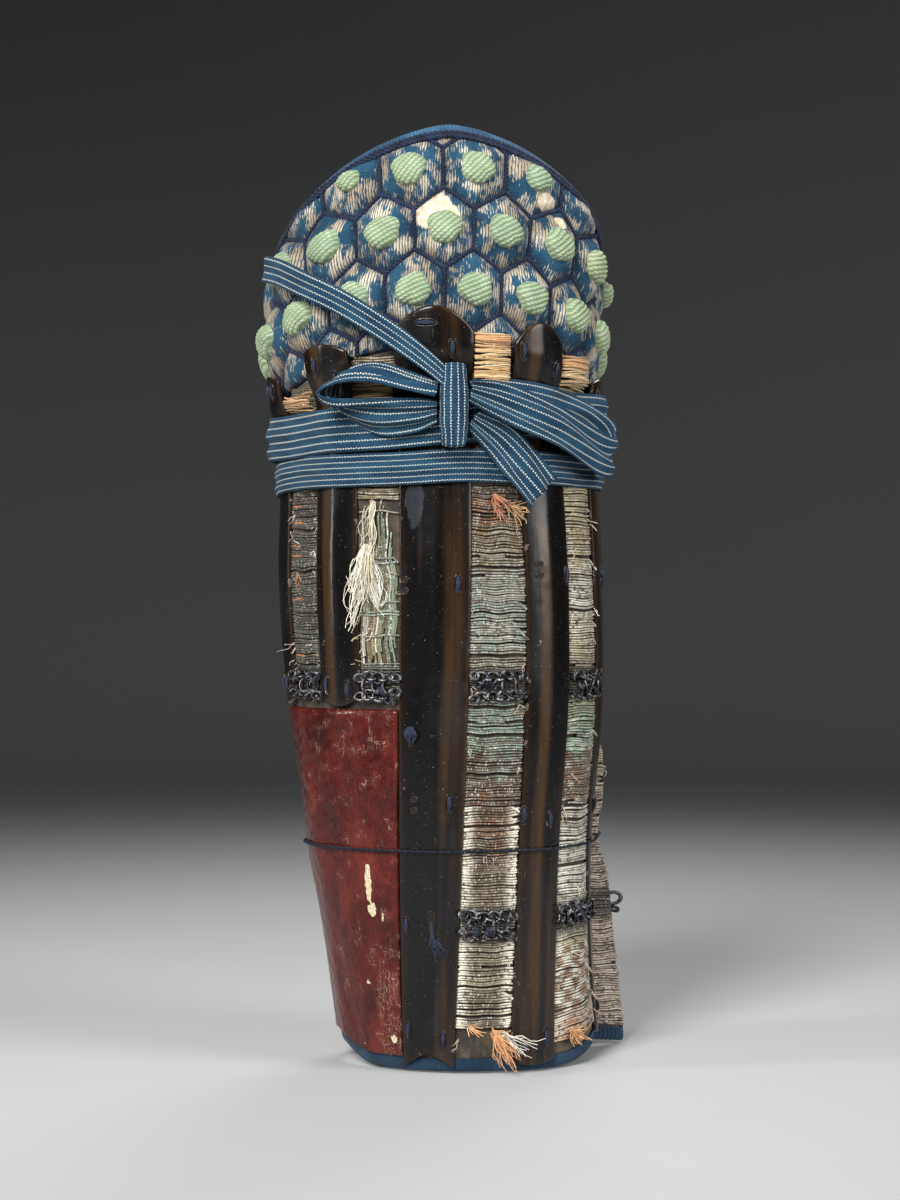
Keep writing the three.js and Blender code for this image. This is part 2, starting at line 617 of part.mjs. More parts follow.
// Angles at which a taut line is followed: the corners that matter, and steps between those that are far apart.
function anglesOf(line) {
  const kept = [...line];
  const depth = (p, i) => {
    const a = kept[(i + kept.length - 1) % kept.length];
    const chord = kept[(i + 1) % kept.length].clone().sub(a);
    return Math.abs(chord.cross(p.clone().sub(a))) / chord.length();
  };
  for (let least = 0; least < 0.07;) {
    const depths = kept.map(depth);
    least = Math.min(...depths);
    if (least < 0.07) {
      kept.splice(depths.indexOf(least), 1);
    }
  }
  const angles = kept.map((p) => radToDeg(Math.atan2(p.x, -p.y))).sort((m, n) => m - n);
  return angles.flatMap((angle, i) => {
    const gap = (angles[i + 1] ?? angles[0] + 360) - angle;
    const steps = Math.ceil(gap / 12);
    return Array.from({ length: steps }, (_, n) => angle + (gap * n) / steps);
  });
}

function linePoint(line, angle, z, lift) {
  const reach = reachOf(line, angle) + lift;
  return new THREE.Vector3(reach * Math.sin(degToRad(angle)), -reach * Math.cos(degToRad(angle)), z);
}

// The two wound turns of the ribbon.
const turnLines = TURNS.map((turn) => {
  const heightAt = (angle) => turn.z + turn.tilt * Math.sin(degToRad(angle)) + turn.rise * Math.cos(degToRad(angle));
  const line = tautLine(heightAt, turn.wide / 2, GAP);
  const angles = anglesOf(line);
  sew(turn.name, wall(angles.length, 1, (u, v, side) => {
    const angle = angles[Math.round(u * angles.length)];
    const z = heightAt(angle) + turn.wide * (v - 0.5);
    return linePoint(line, angle, z, (1 - side) * RIBBON.wall + 0.25);
  }, true), materials.ribbon);
  return line;
});

// The bow: a lump of gathered ribbon in the middle, two loops and two free ends.
const tieLine = turnLines[1];
const tiePoint = (angle, z, lift) => linePoint(tieLine, angle, z, lift + RIBBON.wall + 0.3);

sew('tie_knot', wall(10, 8, (u, v, side) => {
  const rise = lerp(-1, 1, u);
  const swell = 0.8 + 0.2 * Math.cos(rise * Math.PI * 0.5);
  const turn = Math.PI * v;
  const deep = Math.sin(turn) * TIE_KNOT.halfDeep * swell;
  const wide = -Math.cos(turn) * TIE_KNOT.halfWide * swell;
  const lift = side ? TIE_KNOT.lift - 0.9 * deep : TIE_KNOT.lift + deep;
  const edge = v === 0 || v === 1 ? (side ? -0.4 : 0.4) : 0;
  const middle = tiePoint(TIE_KNOT.at, TIE_KNOT.z + TIE_KNOT.halfHeight * rise, lift + edge);
  middle.x += wide;
  return middle;
}), materials.ribbon);

function ribbonStretch(stretch) {
  const rows = stretch.path.map((row, i) => ({ ...row, i }));
  const at = (n, column) => reading(rows, 'i', n, column);
  const centre = (n) => tiePoint(at(n, 'at'), at(n, 'z'), at(n, 'lift'));
  const last = rows.length - 1;
  const up = new THREE.Vector3(0, 0, 1);
  return wall(stretch.steps, 2, (u, v, side) => {
    const n = u * last;
    const middle = centre(n);
    const outward = tiePoint(at(n, 'at'), at(n, 'z'), at(n, 'lift') + 5).sub(middle).normalize();
    const round = new THREE.Vector3().crossVectors(up, outward);
    const lean = degToRad(at(n, 'lean'));
    const tip = degToRad(at(n, 'tip'));
    const width = up.clone().multiplyScalar(Math.cos(tip)).addScaledVector(outward, Math.sin(tip));
    width.multiplyScalar(Math.cos(lean)).addScaledVector(round, Math.sin(lean)).normalize();
    const run = centre(Math.min(n + 0.02, last)).sub(centre(Math.max(n - 0.02, 0)));
    const face = new THREE.Vector3().crossVectors(width, run).normalize();
    middle.addScaledVector(width, at(n, 'wide') * (v - 0.5));
    return middle.addScaledVector(face, RIBBON.wall * (0.5 - side));
  });
}

for (const stretch of BOW) {
  sew(stretch.name, ribbonStretch(stretch), materials.ribbon);
}

// Thin cord pulled tight above the ankle.
const cordLine = tautLine(() => CORD.z, CORD.radius, GAP + CORD.radius);
const cordAngles = anglesOf(cordLine);
const cordPoints = [];
const cordFaces = [];
cordAngles.forEach((angle, i) => {
  for (let j = 0; j < CORD.sides; j += 1) {
    const turn = (2 * Math.PI * j) / CORD.sides;
    const lift = CORD.radius * Math.cos(turn);
    const z = CORD.z + CORD.radius * Math.sin(turn);
    cordPoints.push(linePoint(cordLine, angle, z, lift + 0.2));
    const next = (j + 1) % CORD.sides;
    const ahead = (i + 1) % cordAngles.length;
    const [a, b] = [i * CORD.sides + j, i * CORD.sides + next];
    const [c, d] = [ahead * CORD.sides + next, ahead * CORD.sides + j];
    cordFaces.push([a, b, c], [a, c, d]);
  }
});
sew('lower_cord', body(cordPoints, cordFaces), materials.cord);

const part = new THREE.Group();
part.name = 'shin_guard';
part.add(armour);

export default part;
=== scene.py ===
import math

import bpy
import numpy as np
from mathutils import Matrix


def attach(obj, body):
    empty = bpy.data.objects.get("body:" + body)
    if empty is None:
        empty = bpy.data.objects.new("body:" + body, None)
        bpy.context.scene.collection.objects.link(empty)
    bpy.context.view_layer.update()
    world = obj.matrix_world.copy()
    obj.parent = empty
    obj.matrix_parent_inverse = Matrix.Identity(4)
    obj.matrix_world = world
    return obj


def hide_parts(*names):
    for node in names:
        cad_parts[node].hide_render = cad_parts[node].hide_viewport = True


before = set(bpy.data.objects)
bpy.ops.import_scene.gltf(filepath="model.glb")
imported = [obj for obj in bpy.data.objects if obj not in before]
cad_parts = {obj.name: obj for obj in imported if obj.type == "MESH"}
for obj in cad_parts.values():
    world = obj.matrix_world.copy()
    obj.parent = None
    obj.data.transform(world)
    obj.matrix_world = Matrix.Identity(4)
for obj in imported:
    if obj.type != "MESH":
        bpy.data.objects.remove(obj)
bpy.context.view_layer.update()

# Studio: a pale sheet that curves up into a round backdrop, lit by a large soft lamp above and to the left of the
# front, a weaker one to the right, a narrow one at the left side and one behind. The camera stands 1.2 m in front of
# the leg, a little to its inner side, at half its height.
sweep = np.linspace(0, math.pi / 2, 12)
profile = [(0.0, 0.0), (1.0, 0.0), *zip(1.9 + 0.9 * np.sin(sweep), 0.9 - 0.9 * np.cos(sweep)), (2.8, 3.4)]
spin = np.linspace(0, 2 * math.pi, 72, endpoint=False)
floor_points = [(r * math.cos(t), r * math.sin(t), z - 0.0008) for t in spin for r, z in profile]
floor_index = np.arange(len(floor_points)).reshape(len(spin), len(profile))
floor_ahead = np.roll(floor_index, -1, axis=0)
floor_quads = np.stack(
    [floor_index[:, :-1], floor_index[:, 1:], floor_ahead[:, 1:], floor_ahead[:, :-1]], -1,
).reshape(-1, 4)
floor_mesh = bpy.data.meshes.new("pale_floor")
floor_mesh.from_pydata(floor_points, [], floor_quads.tolist())
floor_mesh.polygons.foreach_set("use_smooth", np.ones(len(floor_mesh.polygons), bool))
pale_floor = bpy.data.objects.new("pale_floor", floor_mesh)
bpy.context.collection.objects.link(pale_floor)


class Finish:
    """A finish with its shader, and short ways to add the nodes that feed it."""

    def __init__(self, name, **shader):
        self.material = bpy.data.materials.new(name)
        self.material.use_nodes = True
        self.tree = self.material.node_tree
        self.tree.nodes.clear()
        self.shader = self.tree.nodes.new("ShaderNodeBsdfPrincipled")
        output = self.tree.nodes.new("ShaderNodeOutputMaterial")
        self.tree.links.new(self.shader.outputs[0], output.inputs[0])
        self.set(**shader)

    def fill(self, socket, value):
        if isinstance(value, bpy.types.NodeSocket):
            self.tree.links.new(value, socket)
        elif socket.type == "RGBA" and len(value) == 3:
            socket.default_value = (*value, 1.0)
        else:
            socket.default_value = value

    def set(self, **shader):
        for name, value in shader.items():
            self.fill(self.shader.inputs[name.replace("_", " ")], value)

    def node(self, kind, *values, out=0, **named):
        made = self.tree.nodes.new("ShaderNode" + kind)
        for name, value in named.items():
            if name in made.inputs:
                self.fill(made.inputs[name], value)
            else:
                setattr(made, name, value)
        for socket, value in zip(made.inputs, values):
            self.fill(socket, value)
        return made.outputs[out]

    def uv(self, across=1.0, up=1.0, turn=0.0):
        place = self.node("TexCoord", out="UV")
        return self.node("Mapping", place, Rotation=(0, 0, math.radians(turn)), Scale=(across, up, 1.0))

    def mark(self, name, out="Fac"):
        return self.node("Attribute", attribute_name=name, out=out)

    def noise(self, place, scale, detail=3.0, rough=0.55):
        return self.node("TexNoise", Vector=place, Scale=scale, Detail=detail, Roughness=rough)

    def speckle(self, scale, detail=3.0):
        return self.noise(self.node("TexCoord", out="Object"), scale, detail)

    def calc(self, how, first, second=0.0):
        return self.node("Math", first, second, operation=how)

    def span(self, value, low, high, to_low=0.0, to_high=1.0):
        return self.node("MapRange", value, low, high, to_low, to_high, interpolation_type="SMOOTHSTEP")

    def mix(self, share, first, second):
        made = self.tree.nodes.new("ShaderNodeMix")
        made.data_type = "RGBA"
        for socket, value in ((made.inputs[0], share), (made.inputs[6], first), (made.inputs[7], second)):
            self.fill(socket, value)
        return made.outputs[2]

    def relief(self, height, depth, under=None):
        sockets = {"Height": height, "Distance": depth, "Strength": 1.0}
        if under is not None:
            sockets["Normal"] = under
        return self.node("Bump", **sockets)


floor_finish = Finish("pale_paper", Roughness=0.9)
floor_place = floor_finish.node("TexCoord", out="Object")
paper = floor_finish.mix(floor_finish.noise(floor_place, 6.0), (0.43, 0.43, 0.425), (0.46, 0.46, 0.455))
far_off = floor_finish.span(floor_finish.node("VectorMath", floor_place, operation="LENGTH", out="Value"), 0.45, 1.7)
floor_finish.set(Base_Color=floor_finish.mix(far_off, paper, (0.19, 0.19, 0.193)))
floor_mesh.materials.append(floor_finish.material)
LAMP_AIM, LAMP_SPREAD = (0.0, 0.0, 0.19), 80


def lamp(name, at, wide, tall, watts, colour):
    light = bpy.data.lights.new(name, "AREA")
    light.shape = "RECTANGLE"
    light.size, light.size_y = wide, tall
    light.energy = watts
    light.spread = math.radians(LAMP_SPREAD)
    light.color = colour
    holder = bpy.data.objects.new(name, light)
    holder.location = at
    aim = np.array(LAMP_AIM) - np.array(at)
    pitch = math.atan2(math.hypot(aim[0], aim[1]), -aim[2])
    holder.rotation_euler = (pitch, 0, math.atan2(aim[1], aim[0]) - math.pi / 2)
    bpy.context.collection.objects.link(holder)


lamp("key_lamp", (-0.6, -1.3, 1.05), 0.5, 0.9, 9.6, (0.98, 1.0, 1.0))
lamp("fill_lamp", (1.25, -0.9, 0.75), 0.7, 1.1, 5, (0.95, 0.98, 1.0))
lamp("side_lamp", (-1.35, -0.3, 0.62), 0.12, 1.1, 1.8, (1.0, 0.98, 0.96))
lamp("back_lamp", (0.5, 1.4, 1.5), 0.8, 0.8, 3.2, (1.0, 1.0, 1.0))
studio = bpy.data.worlds.new("studio")
studio.use_nodes = True
studio.node_tree.nodes["Background"].inputs["Color"].default_value = (0.78, 0.79, 0.8, 1)
studio.node_tree.nodes["Background"].inputs["Strength"].default_value = 0.16
bpy.context.scene.world = studio
bpy.context.scene.view_settings.view_transform = "Standard"

EYE = (-0.0898, -1.185, 0.195)
lens = bpy.data.cameras.new("camera")
lens.sensor_fit = "VERTICAL"
lens.sensor_height = 24.0
lens.lens = 56.0
camera = bpy.data.objects.new("camera", lens)
camera.location = EYE
camera.rotation_euler = (math.pi / 2, 0, -math.atan2(-EYE[0], -EYE[1]))
bpy.context.collection.objects.link(camera)
bpy.context.scene.camera = camera

# Shin cloth: one panel of cloth faced with brocade, 246 degrees round the shin and open behind the calf. The face is a
# dark ground; what shows of it between the splints is covered by the laid metal threads of the next section.
# Rows of LEG give, for a height, how far the cloth reaches to the inner side, outer side, front and back of the leg.
LEG_AXIS = np.array([-3.0, 15.0, 0.0])
LEG = np.array([
    [0, -40.5, 66.5, -48, 44], [40, -46.3, 63, -51, 47], [92, -54.6, 62.2, -54, 50], [150, -62.5, 67, -56.5, 53],
    [200, -66.5, 66.8, -58, 55], [242, -66, 65, -58, 55], [282, -66.5, 62.6, -59, 55], [306, -71, 64, -60.5, 55],
    [328, -70.5, 65.6, -61.5, 55], [355, -67, 67.6, -60, 54], [395, -60, 63, -53, 50],
])
INNER_EDGE, OUTER_EDGE, CLOTH_WALL = -126.0, 120.0, 2.4
KNEE_SEAM, KNEE_DROP, HEM, CLEAR = 299.0, 22.0, 5.0, 0.35
CORD_HEIGHT = 92.0
HEM_ARCHES = [(88, 38, 6), (-84, 42, 6.5)]


def ease(value, low, high):
    share = np.clip((value - low) / (high - low), 0, 1)
    return share * share * (3 - 2 * share)


def reading(keys, values, at):
    """A smooth curve through a table, read at some places."""
    keys, values = np.asarray(keys, float), np.asarray(values, float)
    here = np.arange(len(keys))
    before, after = np.maximum(here - 1, 0), np.minimum(here + 1, len(keys) - 1)
    slope = (values[after] - values[before]) / (keys[after] - keys[before])
    i = np.clip(np.searchsorted(keys, at, side="right") - 1, 0, len(keys) - 2)
    span, rise = keys[i + 1] - keys[i], values[i + 1] - values[i]
    share = np.clip((at - keys[i]) / span, 0, 1)
    bend = (1 - share) * (slope[i] * span - rise) + share * (rise - slope[i + 1] * span)
    return values[i] + rise * share + share * (1 - share) * bend


def leg_point(angle, height, out=0.0):
    """Places on the cloth's face, by angle round the leg from the front, height and distance off the face, in mm."""
    angle, height, out = (np.asarray(x, float) for x in (angle, height, out))
    inner, outer, front, back = (reading(LEG[:, 0], LEG[:, n], height) for n in range(1, 5))
    sin, cos = np.sin(np.radians(angle)), np.cos(np.radians(angle))
    middle = (inner + outer) / 2
    a = (outer - inner) / 2 + out
    b = np.where(cos > 0, -front, back) + out
    square = (sin / a) ** 2 + (cos / b) ** 2
    cross = sin * middle / a ** 2
    reach = (cross + np.sqrt(cross ** 2 + square * (1 - (middle / a) ** 2))) / square
    pinch = 1 - 0.14 * np.exp(-((height - CORD_HEIGHT) / 12) ** 2)
    loose = 34 * ease(angle, 103, OUTER_EDGE + 4) * ease(170 - height, 0, 45) * (1 - 0.0027 * height) * pinch
    x, y, z = np.broadcast_arrays(reach * sin + loose, -reach * cos, height)
    return np.stack([x, y, z], axis=-1) + LEG_AXIS


def waver(x, y, size, seed):
    """Slow uneven waves of about that size in mm, from -1 to 1."""
    pick = np.random.default_rng(seed)
    total = 0.0
    for _ in range(7):
        way, step, start = pick.uniform(0, 2 * math.pi), pick.uniform(0.6, 1.6) * size, pick.uniform(0, 2 * math.pi)
        total = total + np.sin(2 * math.pi * (x * math.cos(way) + y * math.sin(way)) / step + start)
    return total / 4.0


def quads(grid):
    """Faces between the points of a grid of point numbers."""
    return np.stack([grid[:-1, :-1], grid[1:, :-1], grid[1:, 1:], grid[:-1, 1:]], -1).reshape(-1, 4)


def wall_faces(columns, rows, ring=False):
    """Faces of a thin wall whose points are its face and then its back, each by columns and rows."""
    index = np.arange(2 * columns * rows).reshape(2, columns, rows)
    if ring:
        index = np.concatenate([index, index[:, :1]], axis=1)
    face, back = index

    def rim(one, two):
        return np.stack([one[:-1], two[:-1], two[1:], one[1:]], -1)

    parts = [quads(face), quads(back)[:, ::-1], rim(face[:, 0], back[:, 0]), rim(back[:, -1], face[:, -1])]
    if not ring:
        parts += [rim(back[0], face[0]), rim(face[-1], back[-1])]
    return np.concatenate(parts)


def make_piece(name, points, faces, finish, slot, nodes=(), uv=None, **marks):
    """A mesh piece from places in mm, with its finish, riding on the armour and standing for its CAD nodes."""
    mesh = bpy.data.meshes.new(name)
    mesh.from_pydata((np.asarray(points).reshape(-1, 3) / 1000).tolist(), [], np.asarray(faces).tolist())
    mesh.polygons.foreach_set("use_smooth", np.ones(len(mesh.polygons), bool))
    if uv is not None:
        corners = np.empty(len(mesh.loops), np.int32)
        mesh.loops.foreach_get("vertex_index", corners)
        flat = np.asarray(uv, np.float32).reshape(-1, 2)
        mesh.uv_layers.new(name="UVMap").data.foreach_set("uv", flat[corners].ravel())
    for mark, values in marks.items():
        values = np.asarray(values, np.float32)
        if values.shape[-1] == 3 and values.ndim > 1:
            colours = np.concatenate([values.reshape(-1, 3), np.ones((values.size // 3, 1), np.float32)], axis=1)
            mesh.attributes.new(mark, "FLOAT_COLOR", "POINT").data.foreach_set("color", colours.ravel())
        else:
            mesh.attributes.new(mark, "FLOAT", "POINT").data.foreach_set("value", values.ravel())
    mesh.materials.append(finish.material)
    made = bpy.data.objects.new(name, mesh)
    bpy.context.collection.objects.link(made)
    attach(made, "root")
    if nodes:
        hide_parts(*nodes)
    return made


def knee_drop(angle):
    return KNEE_DROP * (1 - np.cos(np.radians(angle)))


def hem_lift(angle):
    """How far the hem is arched off the ground: each arch has its middle, its half width and its rise."""
    angle = np.asarray(angle, float)
    arches = [
        rise * np.cos(math.pi / 2 * np.minimum(np.abs(angle - at) / half, 1)) ** 2 for at, half, rise in HEM_ARCHES
    ]
    return np.maximum(*arches)


turns, lifts = np.meshgrid(np.linspace(INNER_EDGE, OUTER_EDGE, 124), np.linspace(0, 1, 300), indexing="ij")
cloth_heights = HEM + CLEAR + hem_lift(turns)
cloth_heights = cloth_heights + (KNEE_SEAM - 0.5 - knee_drop(turns) - cloth_heights) * lifts
cloth_run = turns * 1.13
slack = 0.16 * waver(cloth_run, cloth_heights, 9, 1) + 0.12 * np.cos(cloth_heights * 2 * math.pi / 1.96) - 0.28
cloth_face = leg_point(turns, cloth_heights, slack)
cloth_back = leg_point(turns, cloth_heights, -CLOTH_WALL + 0.2 * waver(cloth_run, cloth_heights, 22, 2))
cloth_uv = np.stack([cloth_run, cloth_heights], -1) / 10
ground = Finish("brocade_ground", Roughness=0.85, Sheen_Weight=0.15)
thread_lines = ground.noise(ground.uv(3.0, 46.0), 1.0, 4.0)
wear = ground.noise(ground.uv(1.0, 1.0), 1.1, 5.0)
ground_dye = ground.mix(ground.span(wear, 0.42, 0.62), (0.022, 0.017, 0.012), (0.085, 0.06, 0.035))
ground_dye = ground.mix(ground.span(thread_lines, 0.5, 0.72, 0.0, 0.5), ground_dye, (0.16, 0.12, 0.07))
ground_back = ground.mix(ground.noise(ground.uv(22.0, 22.0), 1.0), (0.055, 0.062, 0.085), (0.11, 0.115, 0.13))
ground.set(Base_Color=ground.mix(ground.mark("inside"), ground_dye, ground_back))
ground.set(Normal=ground.relief(ground.noise(ground.uv(9.0, 60.0), 1.0, 2.0), 0.0003))
inside = np.concatenate([np.zeros(turns.size), np.ones(turns.size)])
brocade_cloth = make_piece(
    "brocade_cloth", np.stack([cloth_face, cloth_back]), wall_faces(*turns.shape), ground, "brocade", ["shin_cloth"],
    np.stack([cloth_uv, cloth_uv]), inside=inside,
)

# Laid threads: the brocade's face between the splints, gilt paper and silk threads laid side by side across each strip.
# They are worn: some are broken, their ends have come loose at the edges, and the colour changes down each strip.
# A strip is given by its left and right edge at some heights and by the dyes that it runs through from top to bottom.
GILT, STRAW, CREAM, MINT = (0.42, 0.33, 0.18), (0.52, 0.43, 0.26), (0.72, 0.68, 0.56), (0.40, 0.52, 0.40)
BARK, RUST, MOSS = (0.20, 0.12, 0.07), (0.46, 0.17, 0.05), (0.22, 0.26, 0.15)
ROSE, ASH = (0.56, 0.43, 0.34), (0.30, 0.30, 0.24)
STRIPS = [
    ([(152, -124, -99), (300, -124, -98)], [(300, RUST), (286, STRAW), (270, MOSS), (200, ASH), (152, MOSS)]),
    (
        [(152, -74.4, -57), (300, -74, -56.5)],
        [(300, RUST), (284, STRAW), (262, BARK), (236, BARK), (225, ASH), (152, MOSS)],
    ),
    (
        [(152, -37, -21), (300, -37.4, -21.5)],
        [(300, STRAW), (280, GILT), (236, GILT), (222, ASH), (190, MINT), (152, ASH)],
    ),
    (
        [(6, 3.2, 27), (190, 8.4, 31), (300, 8.4, 23)],
        [(300, RUST), (284, STRAW), (240, BARK), (230, RUST), (218, GILT), (204, CREAM), (188, MINT), (176, CREAM),
         (156, GILT), (150, MINT), (132, MINT), (126, BARK), (112, BARK), (100, RUST), (88, BARK), (70, GILT),
         (40, STRAW), (14, BARK)],
    ),
    (
        [(10, 48, 84.4), (190, 52.5, 72), (290, 46, 66.4)],
        [(300, GILT), (284, STRAW), (236, STRAW), (222, GILT), (196, CREAM), (170, STRAW), (150, MOSS), (136, MINT),
         (128, BARK), (112, BARK), (100, CREAM), (70, CREAM), (52, STRAW), (20, ROSE), (8, RUST)],
    ),
    (
        [(6, 101, 124.6), (150, 98, 124.6), (170, 97.5, 119), (280, 92, 119)],
        [(300, STRAW), (230, GILT), (150, MINT), (130, STRAW), (100, ROSE), (10, ROSE)],
    ),
]
THREAD_STEP, THREAD_RADIUS, THREAD_SIDES = 1.06, 0.62, 6
MAIL_LEVELS, TORN_STRIP, TORN_FROM, TORN_TO = (161, 62), 2, 168, 236
STRIP_LIGHT = [0.24, 0.22, 0.5, 0.44, 1.05, 0.85]


def tube(path, radius, sides=5, flat=1.0):
    """A round strand along a path."""
    path = np.asarray(path, float)
    run = np.gradient(path, axis=0)
    run /= np.linalg.norm(run, axis=1, keepdims=True) + 1e-9
    one = np.cross(run, np.eye(3)[np.argmin(np.abs(run).mean(axis=0))])
    one /= np.linalg.norm(one, axis=1, keepdims=True) + 1e-9
    two = np.cross(run, one)
    turn = 2 * math.pi * np.arange(sides) / sides
    thick = np.broadcast_to(radius, len(path))[:, None, None]
    ring = np.cos(turn)[None, :, None] * one[:, None] + flat * np.sin(turn)[None, :, None] * two[:, None]
    index = np.arange(len(path) * sides).reshape(len(path), sides)
    ahead = np.roll(index, -1, axis=1)
    faces = np.stack([index[:-1], ahead[:-1], ahead[1:], index[1:]], -1).reshape(-1, 4)
    return (path[:, None] + thick * ring).reshape(-1, 3), faces


def bundle(strands):
    """Points and faces of strands as one mesh."""
    starts = np.cumsum([0] + [len(points) for points, _ in strands[:-1]])
    faces = np.concatenate([faces + start for (_, faces), start in zip(strands, starts)])
    return np.concatenate([points for points, _ in strands]), faces


def make_strands(name, strands, finish, slot, nodes=(), **marks):
    return make_piece(name, *bundle(strands), finish, slot, nodes, **marks)


def run_of_dyes(dyes, height):
    keys = [key for key, _ in dyes][::-1]
    return np.stack([np.interp(height, keys, [dye[n] for _, dye in dyes][::-1]) for n in range(3)], -1)


pick = np.random.default_rng(11)
laid, laid_dye, laid_uv = [], [], []
for number, (edges, dyes) in enumerate(STRIPS):
    low = edges[0][0] + (2 if number < 3 else 1)
    high = KNEE_SEAM - knee_drop(np.mean(edges[-1][1:])) - 2
    keys = [row[0] for row in edges]
    for height in np.arange(low, high, THREAD_STEP):
        left, right = (np.interp(height, keys, [row[n] for row in edges]) for n in (1, 2))
        torn = number == TORN_STRIP and TORN_FROM < height < TORN_TO
        if pick.random() < (0.8 if torn else 0.012) or (number == 3 and height < 18):
            continue
        start, end = (0.0, 1.0) if pick.random() < 0.95 else sorted(pick.uniform(0, 1, 2))
        if end - start < 0.3:
            continue
        share = np.linspace(start - pick.uniform(0.01, 0.06), end + pick.uniform(0.01, 0.06), 15)
        angle = left + (right - left) * share
        lift_share = 1 - (2 * share - 1) ** 2
        level = hem_lift(angle) * np.clip(1 - height / 70, 0, 1) if number > 3 else 0.0
        run, level_run = angle * 1.1, height + 0 * angle
        sag = pick.normal(0, 0.12) + 0.55 * waver(run, level_run, 14, 30 + number) - 0.3 * pick.random() * lift_share
        loose = pick.random() < 0.05
        droop = np.maximum(share - share[-3], 0) * 1.5 * (right - left) * (pick.uniform(0, 1) if loose else 0.0)
        out = 0.28 + 0.75 * lift_share + 0.12 * waver(run, level_run, 5, 40 + number) + 0.5 * droop * (height % 3 > 1)
        out = out - 0.45 * np.exp(-((height - 160) / 6) ** 2)
        path = leg_point(angle, height + level + sag - droop, out)
        points, faces = tube(path, THREAD_RADIUS * pick.uniform(0.86, 1.08), THREAD_SIDES, 0.85)
        # Painted shade: each thread is darkened towards its top and bottom, where it turns away into the gaps between
        # rows.
        thread_side_shade = np.clip(np.abs(points[:, 2] - np.repeat(path[:, 2], THREAD_SIDES)) / THREAD_RADIUS, 0, 1)[:, None]
        laid.append((points, faces))
        dye = run_of_dyes(dyes, height + 9 * waver(run, level_run, 12, 50 + number) + pick.normal(0, 2.0))
        bright = 0.75 * np.clip(waver(run, level_run * 1.4, 8, 54 + number) - 0.1, 0, 1)[:, None]
        dull = np.clip(-0.2 - waver(run, level_run * 1.5, 5, 58 + number), 0, 0.8)[:, None]
        dye = (dye * (1 - bright) + np.array(CREAM) * bright) * (1 - dull) + np.array(BARK) * dull
        dye = dye * pick.choice([0.8, 1.0, 1.1, 1.3]) * STRIP_LIGHT[number]
        # painted shade on the thread's top and bottom
        dye = np.repeat(dye, THREAD_SIDES, axis=0) * (1 - 0.85 * thread_side_shade)
        spread = np.repeat(share, THREAD_SIDES)
        if number in (3, 4) and height < 110:
            pale = np.clip((np.abs(2 * spread - 1) - 0.55) / 0.3, 0, 1)[:, None] * (0.7 if number == 3 else 0.3)
            dye = dye * (1 - pale) + np.array(CREAM) * 1.15 * pale
        if number == 4 and 22 < height < 50:
            checks = (np.floor(spread * 6) + math.floor(height / 5.2)) % 2
            # the checks also get the painted shade on each thread's top and bottom
            dye = np.where(checks[:, None] > 0, np.array(CREAM) * 1.1, np.array(BARK) * 1.8) * (1 - 0.7 * thread_side_shade)
        if number == 1 and pick.random() < 0.12:
            dye = np.where((np.abs(spread - 0.3) < 0.2)[:, None], np.array(RUST), dye)
        mails = MAIL_LEVELS if number > TORN_STRIP else MAIL_LEVELS[:1]
        under_mail = max(math.exp(-((height - mail) / 7.5) ** 6) for mail in mails)
        laid_dye.append(dye * (1 - 0.85 * under_mail))
        laid_uv.append(np.stack([spread * 22 / 10, np.full(len(spread), height / 10)], -1))
for column in np.linspace(-36.4, -22, 22):
    heights = np.linspace(pick.uniform(160, 185), pick.uniform(205, 238), 16)
    angle = column + 1.1 * waver(heights, column + 0 * heights, 26, 61)
    out = 0.5 + 0.3 * waver(heights, column + 0 * heights, 12, 62)
    points, faces = tube(leg_point(angle, heights, out), 0.42, THREAD_SIDES)
    laid.append((points, faces))
    dye = np.array([MINT, CREAM, GILT, MOSS, BARK][pick.integers(5)]) * pick.uniform(0.4, 0.85)
    laid_dye.append(np.tile(dye, (len(points), 1)))
    laid_uv.append(np.stack([np.repeat(heights, THREAD_SIDES) / 10, np.full(len(points), column / 10)], -1))
gilt_thread = Finish("gilt_thread", Roughness=0.42, Metallic=0.15, Sheen_Weight=0.1)
flecks = gilt_thread.noise(gilt_thread.uv(2.2, 9.0), 2.0, 4.0)
twist = gilt_thread.noise(gilt_thread.uv(16.0, 30.0), 1.0, 2.0)
thread_dye = gilt_thread.mix(gilt_thread.span(flecks, 0.5, 0.66), gilt_thread.mark("dye", "Color"), (0.07, 0.048, 0.03))
thread_dye = gilt_thread.mix(gilt_thread.span(twist, 0.56, 0.7, 0.0, 0.55), thread_dye, (0.78, 0.74, 0.62))
gilt_thread.set(Base_Color=thread_dye, Normal=gilt_thread.relief(twist, 0.0002))
laid_threads = make_strands(
    "laid_threads", laid, gilt_thread, "brocade", uv=np.concatenate(laid_uv), dye=np.concatenate(laid_dye),
)

# Tape bindings: blue ribbed cotton tape, 14.5 mm wide, folded over the raw edges and sewn through. One runs along the
# hem, one up each back edge of the shin cloth and one over the arched top edge of the knee guard.
KNEE_PEAK, KNEE_HALF = 385.0, 147.0
TAPE_OVER, TAPE_RIB = 5.2, 1.25
blue_tape = Finish("blue_ribbed_tape", Roughness=0.85, Specular_IOR_Level=0.2, Sheen_Weight=0.08)
tape_fade = blue_tape.noise(blue_tape.uv(0.7, 0.7), 1.0, 4.0)
tape_fibre = blue_tape.noise(blue_tape.uv(30.0, 8.0), 1.0, 3.0)
tape_dye = blue_tape.mix(blue_tape.span(tape_fade, 0.35, 0.7), (0.018, 0.062, 0.12), (0.050, 0.140, 0.24))
tape_dye = blue_tape.mix(blue_tape.span(tape_fibre, 0.6, 0.8, 0.0, 0.35), tape_dye, (0.20, 0.27, 0.36))
